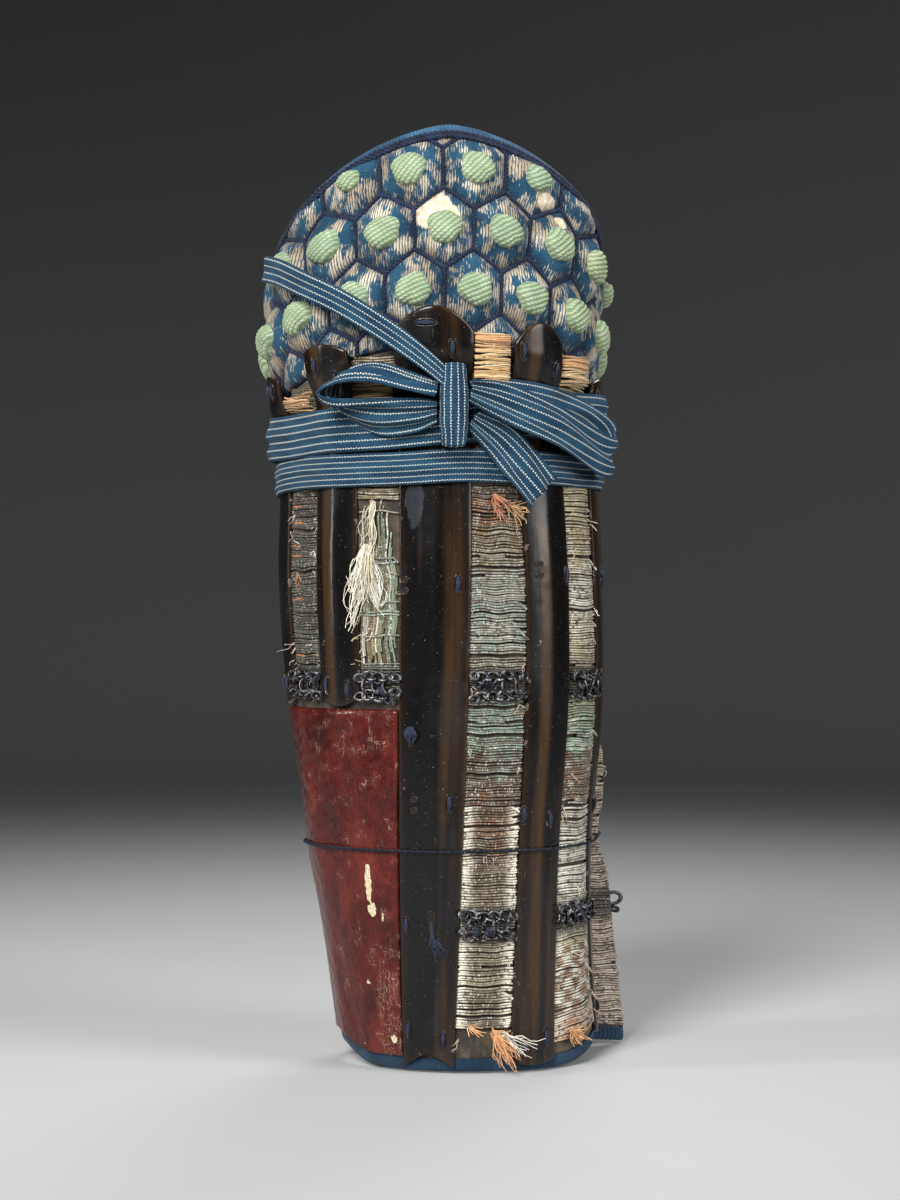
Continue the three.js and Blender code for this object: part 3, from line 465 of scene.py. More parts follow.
# Painted shade: the tape is darkened towards near-black in the grooves between its ribs, and over the whole of the hem
# and back tapes.
tape_dye = blue_tape.mix(blue_tape.calc("MULTIPLY", blue_tape.mark("furrow"), 0.6), tape_dye, (0.004, 0.010, 0.022))
blue_tape.set(Base_Color=tape_dye, Normal=blue_tape.relief(tape_fibre, 0.0002))


def knee_point(along, height, out):
    """Places on the knee guard by the length along its seam and the height of its rows at the front."""
    radius = (reading(LEG[:, 0], LEG[:, 2], height) - reading(LEG[:, 0], LEG[:, 1], height)) / 2 + 2
    angle = np.degrees(along / radius)
    return leg_point(angle, height - knee_drop(angle), out)


def knee_top(along):
    share = np.minimum(np.abs(along) / KNEE_HALF, 1) ** 1.45
    return KNEE_SEAM + (KNEE_PEAK - KNEE_SEAM) * (1 - share) ** 0.44


def fold_tape(name, node, length, place, tape_shade=0.0):
    """A tape folded over an edge: place gives a point by its share along, its reach past the edge and its side. The
    last argument is painted shade over the whole tape; the grooves between its ribs get painted shade too."""
    steps = int(length / 0.42)
    share, fold = np.meshgrid(np.linspace(0, 1, steps), np.linspace(0, math.pi, 13), indexing="ij")
    ribs = 0.5 + 0.5 * np.cos(2 * math.pi * share * length / TAPE_RIB + 0.8 * waver(share * length, fold * 3, 20, 5))
    swell = 0.965 + 0.05 * ribs + 0.02 * waver(share * length, fold * 4, 17, 6)
    past = TAPE_OVER * np.sin(fold) ** 0.62 * swell - 0.5 * (np.sin(fold) < 0.05)
    side = np.sign(np.cos(fold)) * np.abs(np.cos(fold)) ** 0.75 * swell
    faces = quads(np.arange(share.size).reshape(share.shape))
    uv = np.stack([share * length, fold * 4.2], -1) / 10
    # painted shade in the grooves between the ribs, plus the painted shade given for the whole tape
    furrow = np.minimum((1 - ribs) ** 2 + tape_shade, 1.5)
    made = make_piece(name, place(share, past, side), faces, blue_tape, "tape", [node], uv, furrow=furrow)
    return made


def hem_place(share, past, side):
    angle = INNER_EDGE - 5 + (OUTER_EDGE - INNER_EDGE + 10) * share
    return leg_point(angle, hem_lift(angle) + TAPE_OVER - past, -1.45 + 2.0 * side)


def back_place(edge, way):
    def place(share, past, side):
        angle = edge + way * np.degrees(past / 56)
        foot = HEM + CLEAR + hem_lift(angle)
        return leg_point(angle, foot + (KNEE_SEAM - 0.5 - knee_drop(angle) - foot) * share, -1.25 + 2.0 * side)
    return place


def knee_edge_place(share, past, side):
    along = KNEE_HALF * 0.995 * np.sin(math.pi / 2 * (2 * share - 1))
    rise = (knee_top(along + 0.5) - knee_top(along - 0.5))
    steep = np.hypot(1, rise)
    return knee_point(along - rise / steep * past, knee_top(along) + past / steep, -1.1 + 2.4 * side)


# The last number is painted shade over the whole tape: most on the hem, less up the back edges, none on the knee.
hem_tape = fold_tape("hem_tape", "hem_binding", 268, hem_place, 1.0)
back_tape_inner = fold_tape("back_tape_inner", "back_binding_inner", 262, back_place(INNER_EDGE, -1), 0.6)
back_tape_outer = fold_tape("back_tape_outer", "back_binding_outer", 274, back_place(OUTER_EDGE, 1), 0.6)
knee_tape = fold_tape("knee_tape", "knee_binding", 350, knee_edge_place)

# Thread wraps: the top end of each strip is wound round with straw-coloured and orange threads where it meets the knee
# guard, and stands out as a small roll over the seam. Its foot lies flat under the ribbon, up to TIE_EDGE.
WRAPS = [(-74, -57.5, 262, 280), (-37, -22, 276, 290), (8.6, 22.4, 280, 304), (46, 65.6, 276, 297)]
STRAW_DYES = np.array([(0.50, 0.35, 0.16), (0.60, 0.48, 0.28), (0.44, 0.27, 0.10), (0.56, 0.40, 0.20)])
ORANGE_DYE, TIE_EDGE, TIE_TILT = np.array((0.50, 0.20, 0.07)), 277.2, 5
wound, wound_dye = [], []
for left, right, low, high in WRAPS:
    for height in np.arange(low, high, 0.62):
        rise = (height - low) / (high - low)
        share = np.linspace(0, 1, 12)
        angle = left + (right - left) * share
        above = ease(height - TIE_EDGE - TIE_TILT * np.sin(np.radians(angle)), 0, 4)
        out = 0.9 + above * (3.3 - 1.6 * ease(rise, 0.9, 1.0) + 1.3 * (1 - (2 * share - 1) ** 4)) + pick.normal(0, 0.22)
        tilt = pick.normal(0, 1.1) * (share - 0.5) + 0.25 * waver(angle, height + 0 * angle, 9, 81)
        points, faces = tube(leg_point(angle, height + tilt, out), 0.4 * pick.uniform(0.8, 1.15), 5)
        wound.append((points, faces))
        orange = max(ease(rise, 0.55, 0.9), 0.25) * pick.uniform(0.5, 1)
        straw = STRAW_DYES[pick.integers(4)]
        dye = (straw * (1 - orange) + ORANGE_DYE * orange) * pick.choice([0.5, 0.75, 0.95, 1.1])
        wound_dye.append(np.tile(dye, (len(points), 1)))
straw_thread = Finish("straw_thread", Roughness=0.6, Sheen_Weight=0.2)
straw_flecks = straw_thread.speckle(900.0)
straw_thread.set(
    Base_Color=straw_thread.mix(
        straw_thread.span(straw_flecks, 0.5, 0.75), straw_thread.mark("dye", "Color"), (0.66, 0.5, 0.27),
    ),
    Normal=straw_thread.relief(straw_flecks, 0.0002),
)
make_strands("thread_wraps", wound, straw_thread, "brocade", dye=np.concatenate(wound_dye))

# Rubbing guard: red-brown lacquered leather on the inner side, where the stirrup rubs. One piece, sewn down along its
# edges from the middle row of mail to the hem. Its skin is crackled, scratched and scuffed through in places.
LEATHER_TOP, LEATHER_WALL = 150.0, 1.8
SCUFFS = [
    (-37.6, 78, 2.2, 10.5), (-36.4, 67, 3.0, 4), (-31, 64, 0.9, 2.4), (-28.5, 13, 2.4, 2.2), (-42, 36, 1.7, 1.3),
]
share, lift = np.meshgrid(np.linspace(0, 1, 120), np.linspace(0, 1, 130), indexing="ij")
leather_foot = HEM + 2 * CLEAR + hem_lift(INNER_EDGE + 0.6 + (-24.6 - INNER_EDGE - 0.6) * share)
leather_height = leather_foot + (LEATHER_TOP - leather_foot) * lift
leather_right = reading([0, 190, 314], [-24, -20.5, -21], leather_height) - 0.6
leather_angle = INNER_EDGE + 0.6 + (leather_right - INNER_EDGE - 0.6) * share
leather_run = leather_angle * 1.08
to_edge = np.minimum.reduce([share * 106, (1 - share) * 106, lift * 144, (1 - lift) * 144])
rounded = 1 - np.sqrt(1 - (1 - np.clip(to_edge / 1.6, 0, 1)) ** 2)
puffs = 0.45 * waver(leather_run, leather_height * 0.4, 24, 71) + 0.14 * waver(leather_run, leather_height, 7, 72)
leather_face = leg_point(leather_angle, leather_height, CLEAR + LEATHER_WALL - 1.1 * rounded + puffs * (1 - rounded))
leather_back = leg_point(leather_angle, leather_height, CLEAR)
scuffs = np.zeros(share.shape)
for angle, height, wide, tall in SCUFFS:
    away = ((leather_angle - angle) / wide) ** 2 + ((leather_height - height) / tall) ** 2
    scuffs = np.maximum(scuffs, np.exp(-away ** 2))
crazed = np.exp(-((leather_angle + 29) / 9) ** 2 - ((leather_height - 22) / 26) ** 2)
crazed = np.maximum(crazed, 0.3 * np.exp(-((leather_angle + 40) / 14) ** 2 - ((leather_height - 140) / 16) ** 2))
red_leather = Finish("red_leather", Coat_Weight=0.5, Coat_Roughness=0.16, Specular_IOR_Level=0.08)
skin_shade = red_leather.noise(red_leather.uv(0.6, 0.4), 1.0, 3.0)
skin_mottle = red_leather.noise(red_leather.uv(2.2, 2.2), 1.0, 5.0)
crackle = red_leather.node("TexVoronoi", Vector=red_leather.uv(7.0, 3.6), Scale=1.0, feature="DISTANCE_TO_EDGE")
grain = red_leather.noise(red_leather.uv(30.0, 30.0), 1.0, 3.0)
rubbed = red_leather.noise(red_leather.uv(1.3, 1.3), 1.0, 5.0)
# Broad soft bands of painted sheen and painted shade on the leather.
painted_sheen_and_shade = red_leather.noise(red_leather.uv(0.55, 0.2), 1.0, 3.0)
slanted = red_leather.noise(red_leather.uv(13.0, 0.9, 24), 1.0, 5.0, 0.65)
crossing = red_leather.noise(red_leather.uv(0.9, 13.0, 16), 1.0, 5.0, 0.65)
worn_skin = red_leather.calc("ADD", rubbed, red_leather.calc("MULTIPLY", red_leather.mark("crazed"), 0.34))
scratch = red_leather.calc("MAXIMUM", red_leather.span(slanted, 0.61, 0.66), red_leather.span(crossing, 0.62, 0.67))
scratch = red_leather.calc("MULTIPLY", scratch, red_leather.span(worn_skin, 0.5, 0.72))
cracks = red_leather.calc("MULTIPLY", red_leather.span(crackle, 0.045, 0.0), red_leather.span(skin_mottle, 0.36, 0.5))
cracks = red_leather.calc("MULTIPLY", cracks, red_leather.span(worn_skin, 0.55, 0.72))
pale = red_leather.calc("MULTIPLY", red_leather.calc("MAXIMUM", scratch, cracks), 0.62)
flaking = red_leather.calc("ADD", red_leather.noise(red_leather.uv(7.0, 5.0), 1.0, 4.0), 0.25)
bare = red_leather.span(red_leather.calc("MULTIPLY", red_leather.mark("scuff"), flaking), 0.5, 0.54)
skin = red_leather.mix(red_leather.span(skin_shade, 0.25, 0.78), (0.028, 0.0022, 0.002), (0.100, 0.008, 0.005))
skin = red_leather.mix(red_leather.span(skin_mottle, 0.5, 0.75, 0.0, 0.4), skin, (0.20, 0.026, 0.013))
# Painted sheen where the band noise is high, lighter red; painted shade where it is low, darker red.
skin = red_leather.mix(red_leather.span(painted_sheen_and_shade, 0.5, 0.68, 0.0, 0.5), skin, (0.20, 0.026, 0.016))
skin = red_leather.mix(red_leather.span(painted_sheen_and_shade, 0.45, 0.25, 0.0, 0.45), skin, (0.024, 0.002, 0.002))
skin = red_leather.mix(pale, skin, (0.55, 0.36, 0.26))
cracked = red_leather.relief(red_leather.span(crackle, 0.0, 0.12), 0.00025, red_leather.relief(rubbed, 0.0012))
red_leather.set(
    Base_Color=red_leather.mix(bare, skin, (0.66, 0.55, 0.36)),
    Roughness=red_leather.span(skin_mottle, 0.3, 0.75, 0.28, 0.44),
    Normal=red_leather.relief(grain, 0.00012, cracked),
)
leather_uv = np.stack([leather_run, leather_height], -1) / 10
rubbing_guard = make_piece(
    "rubbing_guard", np.stack([leather_face, leather_back]), wall_faces(*share.shape), red_leather, "leather",
    ["leather_guard"], np.stack([leather_uv, leather_uv]), scuff=np.stack([scuffs, scuffs * 0]),
    crazed=np.stack([crazed, crazed * 0]),
)

# Knee guard: two cloths with small hexagon plates of hide between them, quilted round every plate, so each cell stands
# up as a pillow. The blue and cream striped cloth is worn through on one cell. Padded by listed rings, not
# simulated.
CELL_PITCH, CELL_ROW, FIRST_ROW, CELL_SHIFT, QUILT_WALL, PILLOW = 26.8, 25.0, 321.9, 10.2, 2.6, 6.3
outline_runs = [-KNEE_HALF * math.sin(math.pi / 2 * n / 24) for n in range(-24, 25)]
knee_outline = np.array([(along, float(knee_top(along))) for along in outline_runs])


def cut_cell(cell):
    """A cell cut to the guard's outline."""
    for start, end in zip(knee_outline, np.roll(knee_outline, -1, axis=0)):
        kept = []
        sides = [(end[0] - start[0]) * (y - start[1]) - (end[1] - start[1]) * (x - start[0]) for x, y in cell]
        for n, (point, side) in enumerate(zip(cell, sides)):
            ahead, other = cell[(n + 1) % len(cell)], sides[(n + 1) % len(cell)]
            if side >= 0:
                kept.append(point)
            if side * other < 0:
                kept.append(point + (ahead - point) * side / (side - other))
        cell = kept
        if not cell:
            break
    return [p for n, p in enumerate(cell) if np.linalg.norm(p - cell[(n + 1) % len(cell)]) > 0.05]


def inside_by(point):
    run = np.roll(knee_outline, -1, axis=0) - knee_outline
    off = point - knee_outline
    return np.min((run[:, 0] * off[:, 1] - run[:, 1] * off[:, 0]) / np.linalg.norm(run, axis=1))


def widened(places):
    """Places of the cells' grid, moved sideways where the top row is wider."""
    return places * np.stack([1 + 0.126 * ease(places[..., 1], 345, 375), np.ones(places.shape[:-1])], -1)


quilt_points, quilt_faces, quilt_uv, quilt_groove_shade, quilt_worn = [], [], [], [], []
cell_edges, knot_places = {}, []
WORN = {(1, 0): (-4.5, 6, 12, 9.5), (2, 1): (4, -9, 6, 5), (1, 2): (2, 10, 4, 3)}
RINGS = np.array([1.0, 0.975, 0.94, 0.89, 0.83, 0.75, 0.65, 0.53, 0.38, 0.2])
for row in range(-1, 4):
    for column in range(-7, 8):
        grid = np.array([CELL_SHIFT + CELL_PITCH * (column - abs(row) % 2 / 2), FIRST_ROW + CELL_ROW * row])
        middle = widened(grid)
        corner_turns = np.radians(60 * np.arange(6) + 30)
        corners = np.stack([CELL_PITCH / 1.732 * np.cos(corner_turns), CELL_ROW / 1.5 * np.sin(corner_turns)], -1)
        cell = cut_cell(list(widened(grid + corners)))
        if len(cell) < 3:
            continue
        ring = np.array(cell)
        ahead = np.roll(ring, -1, axis=0)
        size = 0.5 * np.sum(ring[:, 0] * ahead[:, 1] - ring[:, 1] * ahead[:, 0])
        if size < 6:
            continue
        fullness = min(math.sqrt(size / (CELL_PITCH * CELL_ROW)), 1.0)
        whole = fullness > 0.8 and inside_by(middle) > 9
        centre = middle if whole else ring.mean(axis=0)
        if whole:
            knot_places.append((*middle, PILLOW, 1.0))
        elif fullness > 0.5 and inside_by(centre) > 5 and row >= 0:
            knot_places.append((*centre, PILLOW * fullness, min(1.0, 0.2 + 0.085 * inside_by(centre))))
        border, on_outline = [], []
        for p, q in zip(ring, ahead):
            steps = max(2, math.ceil(np.linalg.norm(q - p) / 1.3))
            border += [p + (q - p) * n / steps for n in range(steps)]
            rim = inside_by((p + q) / 2) < 0.06
            on_outline += [rim] * steps
            if not rim:
                cell_edges[tuple(sorted([tuple(np.round(p, 1)), tuple(np.round(q, 1))]))] = (p, q)
        border = np.array(border)
        count = len(border)
        spoke = border - centre
        round_spoke = spoke / np.linalg.norm(spoke, axis=1, keepdims=True) * np.linalg.norm(spoke, axis=1).mean()
        flat = np.concatenate([centre + s * (s * spoke + (1 - s) * round_spoke) for s in RINGS] + [centre[None]])
        arc = np.tile(np.arange(count) * 1.3, len(RINGS))
        depth = np.repeat(RINGS, count)
        swell = PILLOW * fullness * (1 - depth ** 2.2) ** 0.7
        swell += 0.16 * np.sin(2 * math.pi * arc / 3.4 + row + column) * np.exp(-((depth - 0.86) / 0.08) ** 2)
        swell = np.append(swell - 0.25 * (depth > 0.99), PILLOW * fullness)
        swell += 0.18 * waver(flat[:, 0], flat[:, 1], 7, 91) * (np.append(depth, 0) < 0.95)
        start = sum(len(p) for p in quilt_points)
        back_flat = np.concatenate([border, centre[None]])
        quilt_points += [knee_point(*flat.T, swell), knee_point(*back_flat.T, -QUILT_WALL)]
        quilt_uv += [flat, back_flat]
        # Painted shade: a mark that rises steeply towards the cell's edge, to darken the cloth in the quilted grooves.
        quilt_groove_shade += [np.append(depth, 0) ** 8, np.zeros(len(back_flat))]
        quilt_worn += [np.zeros(len(flat)), np.zeros(len(back_flat))]
        if (row, column) in WORN:
            shift, up, wide, tall = WORN[row, column]
            away = ((flat[:, 0] - middle[0] - shift) / wide) ** 2 + ((flat[:, 1] - middle[1] - up) / tall) ** 2
            quilt_worn[-2] = np.exp(-away)
        top, back = start + len(RINGS) * count, start + len(flat)
        for n in range(count):
            m = (n + 1) % count
            for r in range(len(RINGS) - 1):
                a = start + r * count
                quilt_faces.append([a + n, a + m, a + count + m, a + count + n])
            last = start + (len(RINGS) - 1) * count
            quilt_faces.append([last + n, last + m, top])
            quilt_faces.append([back + m, back + n, back + count])
            if on_outline[n]:
                quilt_faces.append([start + m, start + n, back + n, back + m])
quilt_cloth = Finish("striped_quilt_cloth", Roughness=0.85, Specular_IOR_Level=0.2, Sheen_Weight=0.04)
figure = quilt_cloth.noise(quilt_cloth.uv(1.1, 0.85), 1.3, 2.0, 0.5)
warp = quilt_cloth.noise(quilt_cloth.uv(24.0, 2.6, 4), 1.0, 2.0)
weft = quilt_cloth.noise(quilt_cloth.uv(3.0, 34.0, 12), 1.0, 2.0)
fade = quilt_cloth.noise(quilt_cloth.uv(0.6, 0.6), 1.0, 4.0)
stripe = quilt_cloth.node(
    "TexWave", Vector=quilt_cloth.uv(1.0, 1.0, 4), Scale=2.7, Distortion=1.4, Detail=2.0, bands_direction="X",
)
figured = quilt_cloth.span(quilt_cloth.calc("ADD", figure, quilt_cloth.calc("MULTIPLY", warp, 0.8)), 0.905, 0.935)
blue = quilt_cloth.mix(quilt_cloth.span(fade, 0.35, 0.7), (0.006, 0.032, 0.062), (0.016, 0.076, 0.132))
blue = quilt_cloth.mix(quilt_cloth.span(weft, 0.55, 0.68, 0.0, 0.5), blue, (0.06, 0.15, 0.24))
cream = quilt_cloth.mix(quilt_cloth.span(fade, 0.4, 0.62), (0.36, 0.28, 0.18), (0.62, 0.54, 0.41))
lines = quilt_cloth.calc("MULTIPLY", quilt_cloth.span(stripe, 0.55, 0.2), quilt_cloth.span(warp, 0.35, 0.6, 0.35, 1.0))
cream = quilt_cloth.mix(lines, cream, (0.045, 0.055, 0.080))
quilt_dye = quilt_cloth.mix(figured, blue, cream)
torn = quilt_cloth.calc("ADD", quilt_cloth.calc("MULTIPLY", figure, 0.5), quilt_cloth.calc("MULTIPLY", warp, 0.25))
bald = quilt_cloth.span(quilt_cloth.calc("ADD", quilt_cloth.mark("worn"), torn), 0.84, 0.9)
fluff = quilt_cloth.span(quilt_cloth.noise(quilt_cloth.uv(5.0, 4.0), 1.0, 4.0), 0.4, 0.65)
lint = quilt_cloth.mix(fluff, (0.60, 0.47, 0.30), (0.80, 0.73, 0.60))
quilt_dye = quilt_cloth.mix(bald, quilt_dye, lint)
# Painted shade: the cloth darkens towards near-black navy at the edges of each cell, in the quilted grooves.
painted_groove_shade = quilt_cloth.calc("MULTIPLY", quilt_cloth.mark("groove"), 0.8)
quilt_dye = quilt_cloth.mix(painted_groove_shade, quilt_dye, (0.006, 0.012, 0.035))
quilt_cloth.set(Base_Color=quilt_dye, Normal=quilt_cloth.relief(weft, 0.0003, quilt_cloth.relief(warp, 0.0004)))
quilted_knee = make_piece(
    "quilted_knee", np.concatenate(quilt_points), np.array(quilt_faces, dtype=object), quilt_cloth, "quilt",
    ["knee_guard"], np.concatenate(quilt_uv) / 10, groove=np.concatenate(quilt_groove_shade), worn=np.concatenate(quilt_worn),
)

# Silk knots: a pale green silk knot sits on every whole cell and on the larger cut ones, and holds the plate inside.
# Each is a domed button worked over with slanting rows of twisted silk.
KNOT_RADIUS, KNOT_HEIGHT, KNOT_ROW, KNOT_BEAD = 6.9, 4.4, 1.8, 1.7
knots, knot_furrow, knot_tint = [], [], []
for number, (along, height, base, scale) in enumerate(knot_places):
    a, b = np.meshgrid(np.linspace(-1, 1, 38), np.linspace(-1, 1, 38), indexing="ij")
    x, y = a * np.sqrt(1 - b ** 2 / 2), b * np.sqrt(1 - a ** 2 / 2)
    lump = 1 + 0.05 * np.sin(3 * np.arctan2(y, x) + number) + 0.03 * np.sin(5 * np.arctan2(y, x) + 2 * number)
    far = np.hypot(x, y)
    turn = math.radians(38 + pick.uniform(-14, 14))
    size = KNOT_RADIUS * scale
    p = size * (x * math.cos(turn) + y * math.sin(turn))
    q = size * (y * math.cos(turn) - x * math.sin(turn))
    lay = np.abs(np.cos(math.pi * q / KNOT_ROW)) ** 0.7
    bead = 0.5 + 0.5 * np.cos(2 * math.pi * (p / KNOT_BEAD + 0.5 * np.floor(q / KNOT_ROW + 0.5) + q * 0.3))
    relief = lay * (0.55 + 0.45 * bead)
    dome = KNOT_HEIGHT * (1 - np.clip(far, 0, 1) ** 3) ** 0.5
    place = knee_point(along + 1.1 * size * lump * x, height + size * lump * y, base - 1.7 + dome + 0.9 * relief)
    knots.append((place.reshape(-1, 3), quads(np.arange(a.size).reshape(a.shape))))
    # Painted shade: the low places between the rows of silk are marked to be darkened.
    knot_furrow.append(1 - relief.ravel())
    knot_tint.append(np.full(a.size, pick.uniform(0, 0.45) + 0.5 * (along > 70)))
green_silk = Finish("green_silk", Roughness=0.6, Specular_IOR_Level=0.3, Sheen_Weight=0.1, Sheen_Roughness=0.4)
silk_fade = green_silk.speckle(160.0, 4.0)
silk_dye = green_silk.mix(green_silk.span(silk_fade, 0.35, 0.7), (0.27, 0.36, 0.22), (0.43, 0.53, 0.35))
silk_dye = green_silk.mix(green_silk.mark("tint"), silk_dye, (0.44, 0.49, 0.28))
# Painted shade: darker green in the furrows between the rows.
silk_dye = green_silk.mix(green_silk.calc("MULTIPLY", green_silk.mark("furrow"), 0.85), silk_dye, (0.05, 0.085, 0.05))
green_silk.set(Base_Color=silk_dye, Normal=green_silk.relief(green_silk.speckle(2600.0), 0.0001))
make_strands(
    "silk_knots", knots, green_silk, "quilt", furrow=np.concatenate(knot_furrow), tint=np.concatenate(knot_tint),
)

# Quilting cords: dark navy two-ply cord, couched down along every groove between the cells. Two more run side by side
# along the inside of the top binding.
CORD_PLY, CORD_LAY, CORD_TWIST = 0.68, 0.52, 3.6


def twisted(along_path, place):
    """A two-ply cord: place gives a point by a share along, and steps aside and up in mm."""
    share = np.linspace(0, 1, max(5, int(along_path / 0.62)))
    plies = []
    for ply in (0, math.pi):
        phase = 2 * math.pi * share * along_path / CORD_TWIST + ply
        plies.append(tube(place(share, CORD_LAY * np.cos(phase), CORD_LAY * np.sin(phase)), CORD_PLY, 5))
    return plies


couched = []
for p, q in cell_edges.values():
    run = np.linalg.norm(q - p)
    if run < 1:
        continue
    way = (q - p) / run

    def groove_place(share, aside, up):
        along = p[0] + (q[0] - p[0]) * share - way[1] * aside
        height = p[1] + (q[1] - p[1]) * share + way[0] * aside
        return knee_point(along, height, 1.25 + up)

    couched += twisted(run, groove_place)

for past in (0.2, 1.7):
    couched += twisted(345, lambda share, aside, up: knee_edge_place(share, past + aside, 1.3 + up / 2.4))
navy_cord = Finish("navy_cord", Roughness=0.8, Specular_IOR_Level=0.25, Sheen_Weight=0.08)
cord_fade = navy_cord.speckle(240.0, 4.0)
navy_cord.set(
    Base_Color=navy_cord.mix(navy_cord.span(cord_fade, 0.35, 0.72), (0.005, 0.009, 0.024), (0.013, 0.024, 0.060)),
    Normal=navy_cord.relief(navy_cord.speckle(3000.0), 0.0001),
)
make_strands("quilting_cords", couched, navy_cord, "cord")

# Splints: five lacquered iron plates, hammered to a ridge, sewn on through pairs of holes and run up over the knee
# guard's lowest cells. The lacquer is worn brown at the edges, scratched, and chipped to the metal. A plate has its top
# and bottom, the cut of its crown and foot, its ridge's height and shape, and its edges as angles at some heights.
PLATE_WALL, STAND_OFF = 1.6, 4.2
PLATES = {
    "inner_back": (290, 151, 3, -3, 1.0, 2, [(151, -98, -75), (290, -97, -75)]),
    "inner": (300, 151, 3, -4, 1.5, 2, [(151, -56.5, -37.5), (300, -56, -38)]),
    "shin": (314.5, 1.6, 10, 7, 2.4, 1, [(0, -24, 2.5), (190, -20.5, 8), (314, -21, 8)]),
    "outer": (309, 2.4, 9, -2, 1.5, 2, [(0, 27.5, 47.5), (190, 31.5, 52), (309, 23, 44.5)]),
    "outer_back": (289, 8.4, 3, -2, 1.0, 2, [(0, 85, 100), (170, 74, 97), (289, 67, 90)]),
}
lacquer = Finish("worn_lacquer", Coat_Weight=0.15, Coat_Roughness=0.12, Specular_IOR_Level=0.25)
brush = lacquer.noise(lacquer.uv(0.9, 0.05), 1.0, 3.0)
cloudy = lacquer.noise(lacquer.uv(0.5, 0.22), 1.0, 4.0)
nicks = lacquer.noise(lacquer.uv(2.6, 1.5), 1.0, 4.0)
dust = lacquer.noise(lacquer.uv(11.0, 11.0), 1.0, 2.0)
fine = lacquer.noise(lacquer.uv(16.0, 0.8, 31), 1.0, 5.0, 0.65)
fine_two = lacquer.noise(lacquer.uv(1.2, 15.0, 40), 1.0, 5.0, 0.65)
scored = lacquer.calc("MAXIMUM", lacquer.span(fine, 0.68, 0.71, 0.0, 0.5), lacquer.span(fine_two, 0.69, 0.72, 0.0, 0.5))
streaked = lacquer.calc("ADD", brush, lacquer.calc("MULTIPLY", lacquer.mark("amber"), 0.2))
thin = lacquer.calc("ADD", lacquer.span(streaked, 0.56, 0.8), lacquer.calc("MULTIPLY", lacquer.mark("edge"), 0.5))
coat = lacquer.mix(lacquer.calc("MINIMUM", thin, 1.0), (0.0036, 0.0033, 0.0036), (0.040, 0.020, 0.008))
coat = lacquer.mix(lacquer.span(cloudy, 0.52, 0.72, 0.0, 0.35), coat, (0.016, 0.018, 0.023))
coat = lacquer.mix(lacquer.span(dust, 0.69, 0.73, 0.0, 0.5), coat, (0.28, 0.26, 0.23))
coat = lacquer.mix(scored, coat, (0.26, 0.21, 0.16))
rubbed = lacquer.span(lacquer.calc("MULTIPLY", lacquer.mark("worn"), lacquer.calc("ADD", nicks, 0.45)), 0.5, 0.62)
coat = lacquer.mix(lacquer.calc("MULTIPLY", rubbed, 0.5), coat, (0.022, 0.027, 0.036))
chipped = lacquer.span(lacquer.calc("ADD", lacquer.calc("MULTIPLY", lacquer.mark("edge"), 0.14), nicks), 0.735, 0.75)
lacquer.set(
    Base_Color=lacquer.mix(chipped, coat, (0.21, 0.15, 0.13)),
    Metallic=lacquer.calc("MULTIPLY", chipped, 0.5),
    Roughness=lacquer.calc("ADD", lacquer.span(cloudy, 0.3, 0.75, 0.18, 0.3), lacquer.calc("MULTIPLY", rubbed, 0.15)),
    Normal=lacquer.relief(lacquer.span(chipped, 1.0, 0.0), 0.00015, lacquer.relief(brush, 0.0004)),
)


def plate_edges(plate, height):
    edges = plate[-1]
    keys = [row[0] for row in edges]
    return [reading(keys, [row[n] for row in edges], height) for n in (1, 2)]


def plate_face(plate, angle, height):
    """How far a plate's face stands off the cloth."""
    ridge, shape = plate[4:6]
    left, right = plate_edges(plate, height)
    share = np.clip((angle - left) / (right - left), 0, 1)
    lifted = CLEAR + STAND_OFF * ease(height + knee_drop(angle), 284, KNEE_SEAM)
    return lifted + ridge * (1 - np.abs(2 * share - 1) ** min(shape, 1.5)) + PLATE_WALL


for name, plate in PLATES.items():
    top, bottom, crown, notch = plate[:4]
    across = np.concatenate([[0, 0.008, 0.02, 0.045], np.linspace(0.08, 0.92, 27), [0.955, 0.98, 0.992, 1]])
    rows = int((top - bottom) / 1.7)
    up = np.concatenate([[0, 0.0015, 0.004], np.linspace(0.008, 0.992, rows), [0.996, 0.9985, 1]])
    u, v = np.meshgrid(across, up, indexing="ij")
    low = bottom + notch * (1 - np.abs(2 * u - 1) if notch > 0 else -((2 * u - 1) ** 2))
    high = top - crown * (2 * u - 1) ** 2
    height = low + (high - low) * v
    left, right = plate_edges(plate, height)
    angle = left + (right - left) * u
    wide = (right - left) * 1.08
    to_edge = np.minimum.reduce([u * wide, (1 - u) * wide, v * (high - low), (1 - v) * (high - low)])
    rounded = 1 - np.sqrt(1 - (1 - np.clip(to_edge / 0.9, 0, 1)) ** 2)
    face = plate_face(plate, angle, height)
    dents = 0.08 * waver(u * wide, height * 0.6, 16, 101) + 0.025 * waver(u * wide, height, 5, 102)
    front = leg_point(angle, height, face + dents - 0.85 * rounded)
    points = np.stack([front, leg_point(angle, height, face - PLATE_WALL)])
    uv = np.stack([(u - 0.5) * wide + 40 * len(name), height], -1) / 10
    rub = np.exp(-((angle + 14) / 5) ** 2 - ((height - 235) / 14) ** 2) if name == "shin" else np.zeros(u.shape)
    edge = np.exp(-to_edge / 1.3)
    amber = ease(u, 0.5, 0.68) if name == "shin" else np.exp(-((u - 0.35) / 0.2) ** 2)
    make_piece(
        "plate_" + name, points, wall_faces(*u.shape), lacquer, "lacquer", ["splint_" + name], np.stack([uv, uv]),
        edge=np.stack([edge, edge * 0]), worn=np.stack([rub, rub * 0]), amber=np.stack([amber, amber * 0]),
    )

